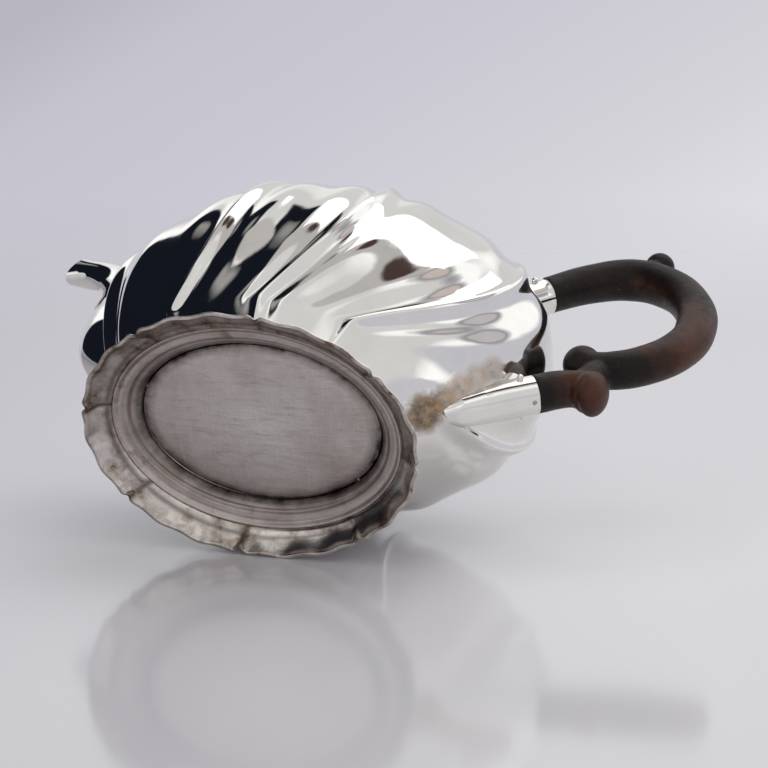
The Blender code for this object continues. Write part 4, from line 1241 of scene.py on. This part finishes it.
def ball(place, radius, stretch=(1, 1, 1)):
    """A knob of the carving, before it is fused with the rest."""
    clear_selection()
    bpy.ops.mesh.primitive_uv_sphere_add(segments=48, ring_count=24, radius=radius, location=place)
    made = bpy.context.active_object
    made.scale = stretch
    apply_place(made)
    return made


scroll = wood_start(upper_end, upper)
scroll += [(upper_end.x + x, upper_end.z + z, SCROLL_RADIUS * r) for x, z, r in SCROLL_FROM_UPPER]
scroll += [(lower_end.x + x, lower_end.z + z, SCROLL_RADIUS * r) for x, z, r in SCROLL_FROM_LOWER]
stub = wood_start(lower_end, lower)
stub += [(lower_end.x + x, lower_end.z + z, STUB_RADIUS * r) for x, z, r in STUB_FROM_LOWER]
joint_low, joint_high = beside(lower_end, 0.0127, 0.0058), beside(lower_end, 0.0172, 0.0218)
spur_low, spur_high = beside(upper_end, 0.0290, 0.0180), beside(upper_end, 0.0322, 0.0310)
handle = route_tube("scrolled_handle", scroll, 16, 12)
blanks = [
    route_tube("stub", stub, 16, 12),
    route_tube("joint", [(joint_low.x, joint_low.z, 0.0055), (joint_high.x, joint_high.z, 0.0055)]),
    route_tube("spur", [(spur_low.x, spur_low.z, 0.0060), (spur_high.x, spur_high.z, 0.0038)]),
    ball(beside(lower_end, 0.0086, 0.0258), 0.0067),
    ball(beside(lower_end, 0.0192, 0.0040), 0.0082, (0.62, 0.92, 1)),
    ball(spur_high + Vector((0.0003, 0, 0.0012)), 0.0054, (1, 1, 0.9)),
]
make_active(handle)
for blank in blanks:
    blank.select_set(True)
bpy.ops.object.join()
apply_modifier(handle, "REMESH", mode="VOXEL", voxel_size=WOOD_VOXEL)
apply_modifier(handle, "SMOOTH", factor=0.5, iterations=6)
finish_piece(handle, "pot", "handle", WOOD, sharp=60)

# %% [markdown]
# ## The lid
#
# A raised dome on a flat flange, chased with the same swirl as the body, with a bezel soldered
# inside that keeps it in the mouth. The domed sheet has a small hole, the vent.

# %% Lid
LID_OVERHANG = 0.0020
LID_RISE = 0.0165
LID_WALL = 0.0010
LID_FLANGE = 0.0030
LID_FLANGE_ROWS = 0.08  # share of the lid's rows that lie on its flange
LID_RELIEF = 0.6  # of the body's ribs and hollows
VENT_RADIUS = 0.0010
VENT_FROM_MIDDLE = 0.0216
STUD_RADIUS = 0.0014
lid_seat = rim_top + GAP
lid_length = MOUTH_LENGTH + 2 * LID_OVERHANG
lid_width = MOUTH_WIDTH + 2 * LID_OVERHANG
lid_top = lid_seat + LID_WALL + LID_RISE


def lid_shape(u, v):
    """The lid's outer surface: a flat flange, then a dome up to the stud's round hole."""
    flange = 1 - 2 * LID_FLANGE / lid_length
    hole = 2 * (STUD_RADIUS + GAP) / lid_length
    on_flange = v < LID_FLANGE_ROWS
    tilt = math.pi / 2 * np.clip((v - LID_FLANGE_ROWS) / (1 - LID_FLANGE_ROWS), 0, 1)
    flat_share = 1 - (1 - flange) * v / LID_FLANGE_ROWS
    share = np.where(on_flange, flat_share, hole + (flange - hole) * np.cos(tilt))
    z = lid_seat + LID_WALL + LID_RISE * np.sin(tilt)
    panel, step = crowded_step(u)
    length, width = lid_length * share, lid_width * share
    girth = math.pi * (length + width) / 2 / PANELS
    strength = LID_RELIEF * np.sin(math.pi * np.clip(tilt / (math.pi / 2) * 1.2, 0, 1))
    relief = np.where(on_flange, 0, strength * np.minimum(1, share * 1.4) * panel_relief(step, girth, z))
    angle = rib_angle(panel + step, z)
    x, y = oval_place(length, width, angle, relief)
    round_x = MIDDLE_X + (STUD_RADIUS + GAP) * np.cos(angle)
    round_y = (STUD_RADIUS + GAP) * np.sin(angle)
    at_hole = share <= hole + 1e-6
    return np.where(at_hole, round_x, x), np.where(at_hole, round_y, y), z


lid = shaped_sheet("domed_lid", 320, 64, lid_shape, wall=LID_WALL)
clear_selection()
vent_place = (MIDDLE_X - VENT_FROM_MIDDLE, 0, lid_top)
bpy.ops.mesh.primitive_cylinder_add(vertices=32, radius=VENT_RADIUS, depth=0.06, location=vent_place)
vent = bpy.context.active_object
apply_place(vent)
apply_modifier(lid, "BOOLEAN", operation="DIFFERENCE", object=vent, solver="EXACT")
bpy.data.objects.remove(vent, do_unlink=True)
finish_piece(lid, "lid", "lid", SILVER)

bezel_out = -rim_half - 0.0006
bezel_section = [
    (bezel_out - 0.0009, lid_seat - GAP - 0.0055),
    (bezel_out, lid_seat - GAP - 0.0055),
    (bezel_out, lid_seat - GAP),
    (bezel_out - 0.0009, lid_seat - GAP),
]
bezel = oval_loop("lid_bezel_band", MOUTH_LENGTH, MOUTH_WIDTH, bezel_section, rows=24, smooth=False)
finish_piece(bezel, "lid", "lid_bezel", SILVER)

# %% [markdown]
# ## The finial
#
# A turned bud of the same dark wood stands in a small silver cup, so that the lid can be opened
# without a burn. A stud runs up into it from under the lid, held by a nut.

# %% Finial
CUP_RADIUS = 0.0066
CUP_HEIGHT = 0.0032
CUP_STEM = 0.0022
FINIAL_RADIUS = 0.0072
FINIAL_HEIGHT = 0.0165
seat = lid_top + GAP
lid_middle = Vector((MIDDLE_X, 0, 0))
cup_outline = [
    (0.0017, seat),
    (CUP_RADIUS * 0.62, seat),
    (CUP_RADIUS * 0.71, seat + 0.0004),
    (CUP_RADIUS * 0.68, seat + 0.0009),
    (CUP_RADIUS * 0.55, seat + 0.0014),
    (CUP_RADIUS * 0.80, seat + 0.0022),
    (CUP_RADIUS, seat + CUP_HEIGHT),
    (CUP_RADIUS * 0.93, seat + CUP_HEIGHT + 0.0001),
    (CUP_RADIUS * 0.80, seat + CUP_HEIGHT - 0.0002),
    (CUP_RADIUS * 0.50, seat + CUP_STEM),
    (0.0017, seat + CUP_STEM),
    (0.0017, seat),
]
cup = turned("finial_cup_turned", cup_outline, lid_middle, rows=110, smooth=False)
finish_piece(cup, "lid", "finial_cup", SILVER, sharp=45)

bud_base = seat + CUP_STEM + GAP
bud_shares = [
    (0.0, 0.0), (0.40, 0.0), (0.66, 0.06), (0.92, 0.28), (1.0, 0.45), (0.88, 0.62),
    (0.56, 0.80), (0.34, 0.90), (0.27, 0.96), (0.14, 0.995), (0.0, 1.0),
]
bud_outline = [(FINIAL_RADIUS * wide, bud_base + FINIAL_HEIGHT * high) for wide, high in bud_shares]
bud = turned("finial_bud", bud_outline, lid_middle, rows=80)
finish_piece(bud, "lid", "finial", WOOD)

# %% [markdown]
# ## The hinge and the small fittings
#
# The knuckles, their pin, the stud and the nut are plain turned and filed pieces, and the model's
# own nodes already show them. They only take their materials.

# %% Model nodes that stay
KEPT = ("body_knuckle_left", "body_knuckle_right", "lid_knuckle", "hinge_pin", "finial_stud", "finial_nut")
for name in KEPT:
    node = frame["nodes"][name]
    node.data.materials.clear()
    node.data.materials.append(SILVER)
bpy.data.objects.remove(cutter, do_unlink=True)
print("kept nodes:", ", ".join(KEPT))
